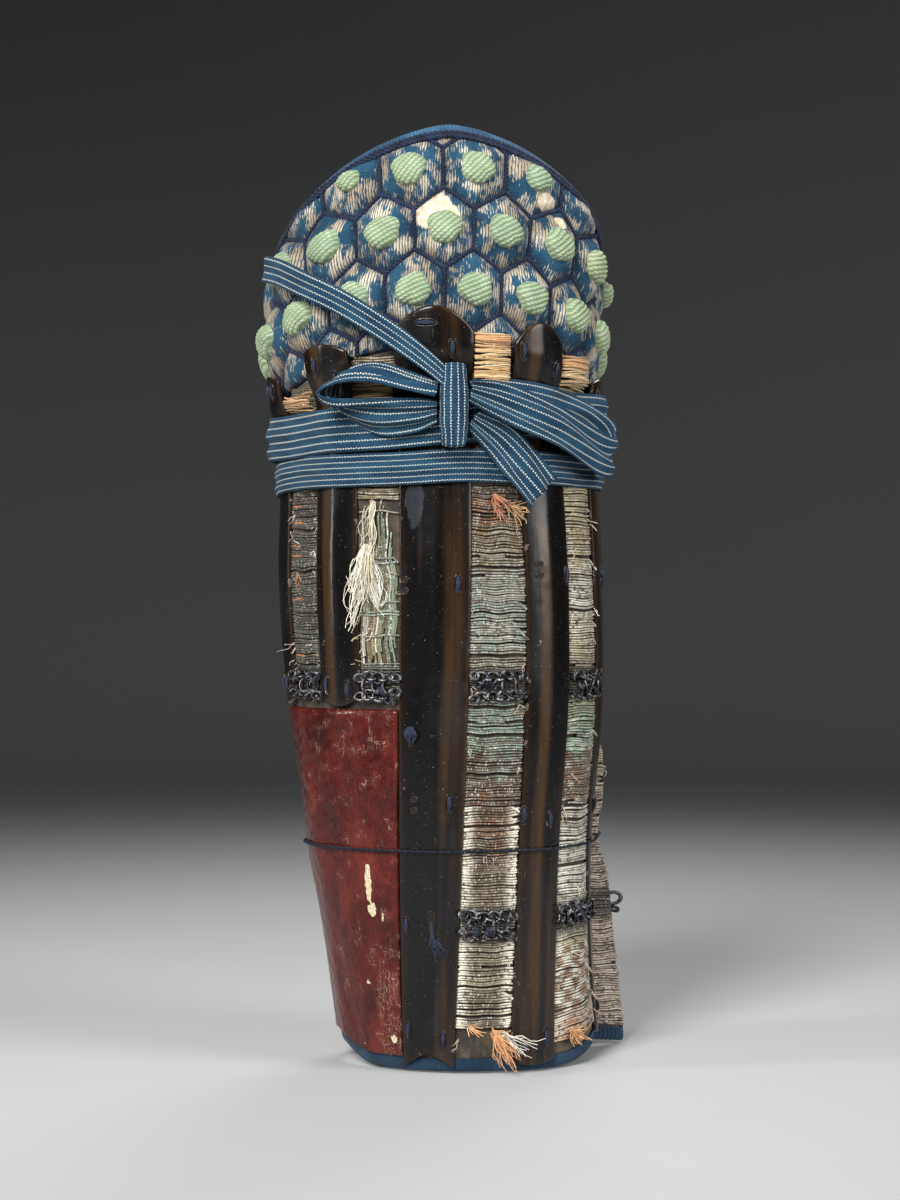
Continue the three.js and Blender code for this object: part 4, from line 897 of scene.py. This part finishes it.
# Sewing of the plates: each pair of holes is punched close together and takes one stitch of thick navy silk. Some have
# lost their stitch, one has frayed into a tuft and one hangs out as a small tassel. A hole shows as a near-black oval
# of painted shade, with a raised lip lightened as worn edge and as a painted highlight.
SEWN = {
    "shin": [
        (-9, 307.4, "across"), (0, 297.2, "stitch"), (-18, 201, "holes"), (2.6, 201.4, "stitch"), (-16.2, 139, "tuft"),
        (-15, 111, "holes"), (-0.6, 111.4, "stitch"), (-19.4, 61, "stitch"), (-8, 63.4, "tassel"), (-20, 17, "stitch"),
        (-3, 14, "stitch"),
    ],
    "outer": [
        (26.8, 297, "stitch"), (41.6, 290, "stitch"), (36, 207.4, "holes"), (49.6, 205.4, "stitch"),
        (31, 106, "stitch"), (42.6, 104, "stitch"), (33, 11.4, "stitch"), (42, 13.6, "stitch"),
    ],
    "inner": [(-50, 291, "stitch"), (-43, 285, "stitch"), (-52, 160, "stitch"), (-42, 158, "stitch")],
    "inner_back": [(-91, 160, "stitch"), (-81, 160, "stitch"), (-90, 283, "stitch"), (-80, 283, "stitch")],
    "outer_back": [
        (72, 281, "stitch"), (84, 281, "stitch"), (80, 205, "stitch"), (90, 205, "stitch"), (82, 108, "stitch"),
        (92, 108, "stitch"), (90, 20, "stitch"), (96, 20, "stitch"),
    ],
}
DEGREES_PER_MM, HOLE_SIDES = 0.93, 22
stitches, lips, ovals, oval_faces = [], [], [], []


def on_plate(plate, angle, height, aside, up, out):
    """A place beside a hole on a plate, in mm."""
    turn, level = angle + aside * DEGREES_PER_MM, height + up
    return leg_point(turn, level, plate_face(plate, turn, level) + out)


def loose_thread(start, fall, spread, count, radius, seed, bend=0.35):
    """Loose threads from one place: they spread, fall and curl."""
    lot = np.random.default_rng(seed)
    made = []
    for _ in range(count):
        t = np.linspace(0, 1, 9)[:, None]
        end = np.asarray(fall, float) * lot.uniform(0.55, 1.1) + lot.normal(0, spread, 3)
        curl = lot.normal(0, bend * np.linalg.norm(fall), 3) * np.sin(math.pi * t) * t
        kink = lot.normal(0, 0.17 * bend * np.linalg.norm(fall), 3) * np.sin(3 * math.pi * t)
        path = np.asarray(start) + lot.normal(0, 0.5, 3) + end * t + curl + kink
        made.append(tube(path, radius * (1 - 0.5 * t[:, 0]), 4))
    return made


for name, places in SEWN.items():
    plate = PLATES[name]
    for angle, height, kind in places:
        turned = kind == "across"
        centres = [(-2.3, 1.3), (2.3, 1.3)] if kind == "holes" else [(0, 4.0)]
        for shift, half in centres:
            ring = np.linspace(0, 2 * math.pi, HOLE_SIDES, endpoint=False)
            long = half * np.sign(np.sin(ring)) * np.abs(np.sin(ring)) ** 0.8 + shift
            short = 1.5 * np.sign(np.cos(ring)) * np.abs(np.cos(ring)) ** 0.8
            aside, up = (long, short) if turned else (short, long)
            start = sum(len(p) for p in ovals)
            middle = on_plate(plate, angle, height, *((shift, 0) if turned else (0, shift)), 0.1)
            ovals += [on_plate(plate, angle, height, aside, up, 0.1), middle[None]]
            oval_faces += [[start + n, start + (n + 1) % HOLE_SIDES, start + HOLE_SIDES] for n in range(HOLE_SIDES)]
            closed = on_plate(plate, angle, height, np.append(aside, aside[:1]), np.append(up, up[:1]), 0.12)
            lips.append(tube(closed, 0.32, 6))
        if kind in ("stitch", "across"):
            t = np.linspace(-1, 1, 11)
            for ply in (-1, 1):
                aside = 0.42 * ply * np.cos(t * 2.2)
                path = (t * 2.9, aside) if turned else (aside, t * 2.9)
                stitches.append(tube(on_plate(plate, angle, height, *path, 0.15 + 0.75 * (1 - t ** 2)), 0.52, 6))
        if kind == "tuft":
            for _ in range(16):
                t = np.linspace(0, 1, 8)
                lean, reach = pick.normal(0, 1.6), pick.uniform(4, 8)
                bulge = 0.6 + pick.uniform(1, 2.2) * np.sin(math.pi * t)
                aside = lean * np.sin(math.pi * t) + pick.normal(0, 0.6)
                stitches.append(tube(on_plate(plate, angle, height, aside, 4 - reach * t, bulge), 0.34, 5))
        if kind == "tassel":
            stem = np.linspace(0, 1, 8)
            stitches.append(tube(on_plate(plate, angle, height, 0.6 * stem, -7 * stem, 0.5 + 0.6 * stem), 0.75, 6))
            knot = on_plate(plate, angle, height, 0.6, -7, 1.2)
            stitches += loose_thread(knot, (3.4, -0.8, -6.5), 1.5, 22, 0.3, 7, 0.22)
navy_silk = Finish("navy_silk", Roughness=0.65, Specular_IOR_Level=0.3, Sheen_Weight=0.1)
silk_sheen = navy_silk.speckle(700.0)
navy_silk.set(
    Base_Color=navy_silk.mix(navy_silk.span(silk_sheen, 0.35, 0.7), (0.005, 0.008, 0.024), (0.013, 0.021, 0.056)),
    Normal=navy_silk.relief(silk_sheen, 0.0002),
)
make_strands("plate_stitches", stitches, navy_silk, "cord")
points, faces = bundle(lips)
plain = np.zeros(len(points))
# The lips take the plates' brown edge wear at 0.8: partly worn lacquer, partly a painted highlight on their rims.
make_piece(
    "hole_lips", points, faces, lacquer, "lacquer", uv=points[:, [0, 2]] / 10, edge=plain + 0.8, worn=plain,
    amber=plain,
)
# Painted shade: a near-black oval lies over each hole in place of the shade inside it.
painted_hole_shade = Finish("painted_hole_shade", Roughness=0.9)
hole_shade_speckle = painted_hole_shade.speckle(900.0)
painted_hole_shade.set(Base_Color=painted_hole_shade.mix(hole_shade_speckle, (0.002, 0.002, 0.003), (0.007, 0.006, 0.006)))
make_piece("punched_holes", np.concatenate(ovals), np.array(oval_faces), painted_hole_shade, "lacquer")

# Mail: blackened iron rings linked side by side and row to row, stitched down in the gaps between the splints. The end
# links catch over the plates' edges. A middle row of four patches and a lower row of two.
RING, WIRE, RING_STEP = 2.2, 0.62, 4.9
MAIL = {
    "middle_inner_back": (-73.4, -58.2, 3, 166.5, 3), "middle_inner": (-36, -22.4, 3, 166.5, 3),
    "middle_outer": (9.6, 29, 4, 166.5, 3), "middle_outer_back": (53.6, 72, 4, 166.5, 3),
    "lower_outer": (6.2, 26.4, 4, 68, 3), "lower_outer_back": (51.4, 77.4, 5, 68, 2),
}
black_iron = Finish("black_iron", Metallic=0.85)
scale = black_iron.speckle(420.0, 4.0)
black_iron.set(
    Base_Color=black_iron.mix(black_iron.span(scale, 0.4, 0.7), (0.036, 0.038, 0.045), (0.21, 0.195, 0.19)),
    Roughness=black_iron.span(scale, 0.3, 0.7, 0.24, 0.48), Normal=black_iron.relief(scale, 0.0003),
)


def iron_ring(angle, height, out, axis, radius, wire, oval=1.0):
    """A ring of wire on the leg: axis is its axle by outward, aside and up."""
    centre = leg_point(angle, height, out)
    outward = leg_point(angle, height, out + 1) - centre
    outward /= np.linalg.norm(outward)
    up = np.array([0.0, 0.0, 1.0])
    aside = np.cross(up, outward)
    axle = axis[0] * outward + axis[1] * aside + axis[2] * up
    axle /= np.linalg.norm(axle)
    one = np.cross(axle, up if abs(axle[2]) < 0.8 else aside)
    one /= np.linalg.norm(one)
    two = np.cross(axle, one)
    turn, roll = np.meshgrid(np.linspace(0, 2 * math.pi, 17), np.linspace(0, 2 * math.pi, 8), indexing="ij")
    spoke = np.cos(turn)[..., None] * one * oval + np.sin(turn)[..., None] * two
    points = centre + spoke * (radius + wire * np.cos(roll))[..., None] + axle * (wire * np.sin(roll))[..., None]
    return points.reshape(-1, 3), quads(np.arange(turn.size).reshape(turn.shape))[:, [0, 3, 2, 1]]


mail_stitches = []
for name, (left, right, columns, top, rows) in MAIL.items():
    rings = []
    step = (right - left) / columns
    gap = 3.9 if rows == 3 else 2.6
    level = top - RING_STEP * rows / 2 + 0.4
    for side in (1, -1):
        for column in range(columns):
            angle = left + step * (column + 0.5)
            jog = side * gap + pick.normal(0, 0.4)
            axle = (1, pick.normal(0, 0.35), pick.normal(0, 0.35))
            rings.append(iron_ring(angle, level + jog, 2.2, axle, RING, WIRE, 1.12))
            if column < columns - 1:
                axle = (0.5, pick.normal(0, 0.3), 1)
                rings.append(iron_ring(angle + step / 2, level + jog, 2.4, axle, 1.75, 0.55, 1.2))
        for angle in (left - 0.1 * step, right + 0.1 * step):
            jog = side * gap + pick.normal(0, 0.6)
            rings.append(iron_ring(angle, level + jog, 3.4, (0.9, 0.4, 0.5 * pick.normal()), 1.7, 0.55, 1.3))
    for column in range(columns):
        angle = left + step * (column + 0.5 + pick.normal(0, 0.08))
        rings.append(iron_ring(angle, level, 2.7, (0.8, 0.7, 0.3 * pick.normal()), gap - 1.0, 0.58, 0.8))
        if pick.random() < 0.6:
            t = np.linspace(-1, 1, 7)
            slant, height = pick.uniform(-2.2, 2.2), level + pick.choice([-1, 1]) * gap * 0.6
            for ply in (-0.4, 0.4):
                path = leg_point(angle + step * 0.45 + t * slant + ply, height + 2.0 * t, 2.4 + 1.5 * (1 - t ** 2))
                mail_stitches.append(tube(path, 0.46, 5))
    make_strands("rings_" + name, rings, black_iron, "mail", ["mail_" + name])
stray = [iron_ring(122, 63, 2.8, (0.5, 1, 0.2), 2.6, 0.8, 1.3), iron_ring(123, 58, 3.0, (0.6, 0.3, 1), 2.0, 0.75)]
make_strands("rings_stray", stray, black_iron, "mail")
make_strands("mail_stitches", mail_stitches, navy_silk, "cord")

# Tie ribbon: indigo cotton woven with six white warp stripes, 18.4 mm wide. It is wound twice round the leg below the
# knee over the splints, pulled taut, and tied in front in a bow with two loops and two free ends. The lower turn is
# drawn a little narrow under the upper one.
RIBBON_WIDE, RIBBON_WALL = 18.4, 1.2
indigo = Finish("striped_indigo", Roughness=0.85, Specular_IOR_Level=0.2, Sheen_Weight=0.04)
picks = indigo.node("TexWave", Vector=indigo.uv(1.0, 0.12), Scale=2.7, Distortion=0.8, bands_direction="X")
ends = indigo.noise(indigo.uv(4.0, 46.0), 1.0, 2.0)
dyeing = indigo.noise(indigo.uv(0.6, 1.2), 1.0, 4.0)
sway = indigo.node(
    "TexWave", Vector=indigo.uv(1.0, 0.0), Scale=1.55, Distortion=1.5, Detail=1.0, bands_direction="X", out="Fac",
)
from_middle = indigo.node("SeparateXYZ", indigo.node("TexCoord", out="UV"), out="Y")
across_place = indigo.calc("ADD", from_middle, indigo.calc("MULTIPLY", sway, 0.022))
warp_step = indigo.calc("FRACT", indigo.calc("ADD", indigo.calc("DIVIDE", across_place, 0.31), 20.0))
striped = indigo.span(indigo.calc("ABSOLUTE", indigo.calc("SUBTRACT", warp_step, 0.5)), 0.11, 0.065)
striped = indigo.calc("MULTIPLY", striped, indigo.span(indigo.calc("ABSOLUTE", from_middle), 0.84, 0.82))
striped = indigo.calc("MULTIPLY", striped, indigo.span(picks, 0.12, 0.5, 0.12, 1.0))
cloth_dye = indigo.mix(indigo.span(dyeing, 0.35, 0.7), (0.005, 0.026, 0.055), (0.012, 0.054, 0.098))
cloth_dye = indigo.mix(indigo.span(ends, 0.55, 0.7, 0.0, 0.3), cloth_dye, (0.03, 0.085, 0.14))
indigo.set(
    Base_Color=indigo.mix(striped, cloth_dye, (0.58, 0.60, 0.55)),
    Normal=indigo.relief(striped, 0.0002, indigo.relief(picks, 0.0002, indigo.relief(ends, 0.0002))),
)


def cover(angle, height):
    """How far off the cloth the outermost face is."""
    most = np.full(angle.shape, 0.7)
    for plate in PLATES.values():
        top, bottom = plate[:2]
        left, right = plate_edges(plate, height)
        share = (angle - left) / (right - left)
        there = (share > -0.03) & (share < 1.03) & (height > bottom) & (height < top)
        most = np.where(there, np.maximum(most, plate_face(plate, angle, height)), most)
    most = np.where(height + knee_drop(angle) > KNEE_SEAM - 1, np.maximum(most, 4.3), most)
    leather = (height < LEATHER_TOP) & (angle < -22)
    return np.where(leather, np.maximum(most, CLEAR + LEATHER_WALL), most)


def taut_line(height_at, half, clear):
    """Distance from the middle of the leg to a band pulled tight round it, at any angle."""
    angle, share = np.meshgrid(np.arange(INNER_EDGE - 5.6, OUTER_EDGE + 5.6, 1.4), [-1, -0.5, 0, 0.5, 1], indexing="ij")
    height = height_at(angle) + half * share
    marks = (leg_point(angle, height, cover(angle, height) + clear) - LEG_AXIS)[..., :2].reshape(-1, 2)
    marks = marks[np.lexsort((marks[:, 1], marks[:, 0]))]

    def chain(places):
        kept = []
        for p in places:
            while len(kept) > 1 and np.cross(kept[-1] - kept[-2], p - kept[-2]) <= 0:
                kept.pop()
            kept.append(p)
        return kept[:-1]

    line = np.array(chain(marks) + chain(marks[::-1]))
    run = np.roll(line, -1, axis=0) - line

    def reach(turn):
        turn = np.asarray(turn, float)
        way = np.stack([np.sin(np.radians(turn)), -np.cos(np.radians(turn))], -1)[..., None, :]
        over = way[..., 0] * run[:, 1] - way[..., 1] * run[:, 0]
        share_on = (line[:, 0] * way[..., 1] - line[:, 1] * way[..., 0]) / over
        far = (line[:, 0] * run[:, 1] - line[:, 1] * run[:, 0]) / over
        return np.where((far > 0) & (share_on >= -1e-9) & (share_on <= 1 + 1e-9), far, 0).max(axis=-1)

    return reach


def off_axis(angle, height, reach):
    x, y, z = np.broadcast_arrays(reach * np.sin(np.radians(angle)), -reach * np.cos(np.radians(angle)), height)
    return np.stack([x, y, z], -1) + LEG_AXIS


ribbon_lines = []
for name, level, tilt, rise, shown in (("lower", 246.9, 1, 2.6, 13.6), ("upper", 268, 5, 0, RIBBON_WIDE)):
    def height_at(angle):
        return level + tilt * np.sin(np.radians(angle)) + rise * np.cos(np.radians(angle))

    reach = taut_line(height_at, shown / 2, CLEAR)
    ribbon_lines.append(reach)
    turn, share = np.meshgrid(np.linspace(-180, 180, 300, endpoint=False), np.linspace(0, 1, 17), indexing="ij")
    far = reach(turn[:, 0])
    far = np.maximum(far, sum(np.roll(far, n) for n in range(-3, 4)) / 7)[:, None]
    around = np.radians(turn) * 68
    crease = 0.45 * waver(around * 0.35, share * 18, 7, 111 + int(shown))
    crease += 0.5 * np.cos(2 * math.pi * (share * 2.2 + around / 260))
    curl = 0.5 * (2 * share - 1) ** 6
    height = height_at(turn) + shown * (share - 0.5) + 0.5 * waver(around, 0 * share, 60, 113 + int(shown))
    face = off_axis(turn, height, far + 0.25 + RIBBON_WALL + 0.3 + crease - curl)
    back = off_axis(turn, height, far + 0.25 + crease * 0.3)
    uv = np.stack([around, RIBBON_WIDE * (share - 0.5)], -1) / 10
    wound_turn = make_piece(
        "ribbon_" + name + "_turn", np.stack([face, back]), wall_faces(*turn.shape, ring=True), indigo, "ribbon",
        ["tie_" + name + "_turn"], np.stack([uv, uv]),
    )

# Bow: the ribbon's two loops and two ends. Beside the knot it is gathered into pleats; the upper end is folded double
# along its length and stands up stiffly; the knot itself is one more turn of the ribbon over the middle, pulled narrow.
# A stretch is a path by angle, height, lift off the turns, lean and tip of the ribbon's width, and width as it shows.
BOW = {
    "inner_loop": [
        (-5.4, 271.5, 3.4, 0, 8, 9), (-13, 270, 3.8, 0, 14, 14), (-27, 269.5, 5.4, 0, 32, 17),
        (-37.5, 273, 9.6, 0, 70, 17), (-41, 279.4, 10.6, 0, 92, 17), (-36.5, 286, 10.4, 0, 112, 17),
        (-26, 287.4, 9.4, 0, 122, 15), (-14, 283.6, 7.2, 0, 122, 12), (-5.4, 280.4, 5.2, 0, 118, 8),
    ],
    "outer_loop": [
        (6.2, 280, 6.6, 12, 0, 9), (16, 276.4, 7.6, 18, -6, 15), (30, 270, 7.8, 23, -10, 18),
        (46, 262.6, 7.6, 25, -10, 18.4), (60, 256.4, 7.4, 25, -6, 18.4), (67.5, 255, 7, 24, 0, 18.4),
        (70.6, 258.4, 5, 22, 6, 18.4), (68, 263.6, 2.9, 20, 6, 18.4), (58, 269.4, 1.9, 16, 2, 18.4),
        (42, 273.6, 1.7, 12, 0, 18), (22, 278, 1.7, 8, 0, 15), (6.2, 280, 1.8, 4, 0, 9),
    ],
    "upper_end": [
        (-1.6, 284, 6.4, 38, 0, 6.4), (-5.4, 288.6, 5, 40, 0, 7.4), (-14, 297, 5.4, 41, 0, 8.6),
        (-27, 308.4, 9.2, 38, 0, 9.6), (-43, 320.6, 11.2, 31, 0, 10.2), (-60, 329.8, 11.6, 22, 0, 10.6),
        (-70, 333.4, 11.8, 18, 0, 11),
    ],
    "lower_end": [
        (7.1, 268.4, 4, 38, 0, 8), (17, 260.6, 4.1, 42, 0, 15), (25.4, 250.6, 4.2, 46, 0, 18.4),
        (33.4, 239.4, 4.6, 48, 0, 18.4),
    ],
}
BOW_COLUMNS = 29
tie_reach = ribbon_lines[1]
for name, rows in BOW.items():
    path = np.array(rows, float)
    steps = 26 * (len(path) - 1) // 2 + 1
    at = np.linspace(0, len(path) - 1, steps)
    angle, height, lift, lean, tip, shown = (reading(np.arange(len(path)), path[:, n], at) for n in range(6))
    middle = off_axis(angle, height, tie_reach(angle) + lift + RIBBON_WALL + 0.3)
    outward = off_axis(angle, height, 1.0) - off_axis(angle, height, 0.0)
    round_way = np.cross([0.0, 0.0, 1.0], outward)
    lean, tip = np.radians(lean)[:, None], np.radians(tip)[:, None]
    width = np.array([0.0, 0.0, 1.0]) * np.cos(tip) + outward * np.sin(tip)
    width = width * np.cos(lean) + round_way * np.sin(lean)
    width /= np.linalg.norm(width, axis=1, keepdims=True)
    run = np.gradient(middle, axis=0)
    facing = np.cross(width, run)
    facing /= np.linalg.norm(facing, axis=1, keepdims=True)
    share = np.linspace(0, 1, BOW_COLUMNS)[None]
    if name == "upper_end":
        fold = 0.64
        aside = np.where(share < fold, share / fold, 1 - (share - fold) / fold) - 0.5
        behind = -1.9 * ease(share, fold - 0.06, fold + 0.06) + 0.25 * np.cos(2 * math.pi * share * 2)
        behind = np.repeat(behind, steps, axis=0)
    else:
        aside = share - 0.5
        slackness = np.sqrt(np.clip(4 * (RIBBON_WIDE / shown - 1), 0, 6))
        depth = np.minimum(shown * slackness / (2 * math.pi * 2.5), 1.7)[:, None]
        behind = depth * np.cos(2 * math.pi * (share * 2.5 + 0.1 * np.sin(at[:, None] * 2)))
        behind = behind + 1.1 * np.cos(2 * math.pi * (share * 1.6 + at[:, None] * 0.23)) * (1 - depth / 1.7)
    length = np.concatenate([[0], np.cumsum(np.linalg.norm(np.diff(middle, axis=0), axis=1))])
    place = middle[:, None] + width[:, None] * (shown[:, None] * aside)[..., None] + facing[:, None] * behind[..., None]
    thick = 0.85 * facing[:, None] * np.ones((1, BOW_COLUMNS, 1))
    uv = np.stack(np.broadcast_arrays(length[:, None], RIBBON_WIDE * (share - 0.5)), -1) / 10
    cloth = make_piece(
        "ribbon_" + name, np.stack([place + thick / 2, place - thick / 2]), wall_faces(steps, BOW_COLUMNS), indigo,
        "ribbon", ["bow_" + name], np.stack([uv, uv]),
    )

rise, share = np.meshgrid(np.linspace(-1, 1, 46), np.linspace(0, 1, 41), indexing="ij")
swell = 0.8 + 0.2 * np.cos(rise * math.pi / 2) + 0.04 * waver(rise * 17, share * 14, 9, 121)
around = math.pi * share
pleat = 0.42 * np.cos(2 * math.pi * share * 3.5 + 0.5 * np.sin(rise * 2)) + 0.25 * waver(rise * 17, share * 12, 5, 122)
lift = 4.6 + np.sin(around) * (4.0 * swell + pleat)
knot_height = 274 + 17 * rise - 1.2 * (2 * share - 1) ** 2 * np.sign(rise) * (np.abs(rise) > 0.9)
knot_reach = tie_reach(0.5) + RIBBON_WALL + 0.3
front = off_axis(0.5, knot_height, knot_reach + lift + 0.4)
behind = off_axis(0.5, knot_height, knot_reach + 4.6 - 0.9 * np.sin(around) * 4.0 * swell - 0.4)
for side in (front, behind):
    side[..., 0] -= np.cos(around) * 5.9 * swell
uv = np.stack([rise * 17, RIBBON_WIDE * (share - 0.5)], -1) / 10
ribbon_knot = make_piece(
    "ribbon_knot", np.stack([front, behind]), wall_faces(*rise.shape), indigo, "ribbon", ["tie_knot"],
    np.stack([uv, uv]),
)

# Ankle cord: a thin dark two-ply cord tied tight round the guard above the ankle, over leather and plates. Behind, it
# runs straight across the opening.
CORD_TWISTS = 61
cord_reach = taut_line(lambda angle: CORD_HEIGHT + 0 * angle, 0.75, CLEAR + 0.75)
strands = []
turn = np.linspace(-180, 180, 520)
for ply in (0, math.pi):
    phase = CORD_TWISTS * np.radians(turn) + ply
    far = cord_reach(turn) + 0.2 + 0.38 * np.cos(phase)
    strands.append(tube(off_axis(turn, CORD_HEIGHT + 0.32 * np.sin(phase), far), 0.38, 6))
dark_cord = Finish("dark_cord", Roughness=0.75, Specular_IOR_Level=0.3)
cord_wear = dark_cord.speckle(300.0)
dark_cord.set(
    Base_Color=dark_cord.mix(dark_cord.span(cord_wear, 0.4, 0.7), (0.004, 0.006, 0.012), (0.014, 0.019, 0.032)),
    Normal=dark_cord.relief(cord_wear, 0.0001),
)
make_strands("ankle_cord", strands, dark_cord, "cord", ["lower_cord"])

# Frays: threads that have come loose from the brocade. A white silk tuft hangs out of the torn strip beside the shin
# splint, orange threads hang under the bow and at the hem, and single gilt ends stick out along the strips' edges.
FRAYS = [
    ("white_silk", (0.74, 0.70, 0.58), -34, 217, 2.2, (-6, -3, -31), 0.9, 46, 0.24),
    ("white_silk", (0.78, 0.76, 0.68), -33, 217, 2.4, (5, -3, -26), 0.8, 46, 0.24),
    ("white_silk", (0.62, 0.52, 0.34), -32, 217, 2.0, (-1, -3, -20), 2.0, 20, 0.22),
    ("white_silk", (0.70, 0.64, 0.48), -31, 235, 1.6, (-2, -2, -20), 1.6, 16, 0.2),
    ("orange_silk", (0.42, 0.13, 0.05), 18, 238, 1.6, (4, -4, -8), 3.2, 26, 0.32),
    ("orange_silk", (0.55, 0.30, 0.12), 24, 234, 1.8, (6, -3, -4), 2.6, 18, 0.3),
    ("orange_silk", (0.62, 0.26, 0.09), 20, 17, 1.4, (7, -4, -13), 2.4, 40, 0.36),
    ("orange_silk", (0.60, 0.30, 0.12), 9, 19, 1.2, (4, -2, -2), 1.8, 18, 0.32),
    ("orange_silk", (0.58, 0.27, 0.10), 58, 15, 1.2, (4, -3, -4), 2.4, 30, 0.34),
    ("orange_silk", (0.40, 0.12, 0.04), -68, 206, 1.2, (2, -2, -5), 1.4, 12, 0.32),
    ("white_silk", (0.76, 0.72, 0.62), 24, 16, 1.6, (13, -4, -8), 2.6, 14, 0.3),
    ("white_silk", (0.74, 0.66, 0.54), 104, 22, 1.4, (3, -3, -10), 2.0, 16, 0.3),
]
tufts = {"white_silk": ([], []), "orange_silk": ([], [])}
for number, (kind, dye, angle, height, out, fall, spread, count, radius) in enumerate(FRAYS):
    made = loose_thread(leg_point(angle, height, out), fall, spread, count, radius, 130 + number, 0.12)
    lot = np.random.default_rng(150 + number)
    tufts[kind][0].extend(made)
    tufts[kind][1].extend(np.tile(np.array(dye) * lot.uniform(0.6, 1.25), (len(p), 1)) for p, _ in made)
for number in range(110):
    strip = pick.integers(0, 6)
    edges = STRIPS[strip][0]
    height = pick.uniform(edges[0][0] + 6, 236 if strip > 2 else 232)
    left, right = (np.interp(height, [row[0] for row in edges], [row[n] for row in edges]) for n in (1, 2))
    share = pick.choice([0.04, 0.96]) if pick.random() < 0.6 else pick.uniform(0.1, 0.9)
    sideways = pick.normal(0, 2.4)
    outward = -pick.uniform(0.3, 2.0) if strip in (2, 3) else pick.normal(0, 0.8)
    fall = (sideways, outward, pick.normal(-2.0, 1.8))
    made = loose_thread(leg_point(left + (right - left) * share, height, 1.3), fall, 0.8, 2, 0.2, 200 + number, 0.22)
    tufts["white_silk"][0].extend(made)
    dye = np.array(pick.choice(np.array([CREAM, STRAW, ROSE]))) * pick.uniform(0.8, 1.25)
    tufts["white_silk"][1].extend(np.tile(dye, (len(p), 1)) for p, _ in made)
for kind, (strands, dyes) in tufts.items():
    loose_silk = Finish("loose_" + kind, Roughness=0.6, Sheen_Weight=0.3)
    strand_shade = loose_silk.speckle(500.0)
    loose_silk.set(
        Base_Color=loose_silk.mix(
            loose_silk.span(strand_shade, 0.45, 0.75), loose_silk.mark("dye", "Color"), (0.34, 0.24, 0.13),
        ),
    )
    make_strands("frayed_" + kind, strands, loose_silk, "brocade", dye=np.concatenate(dyes))
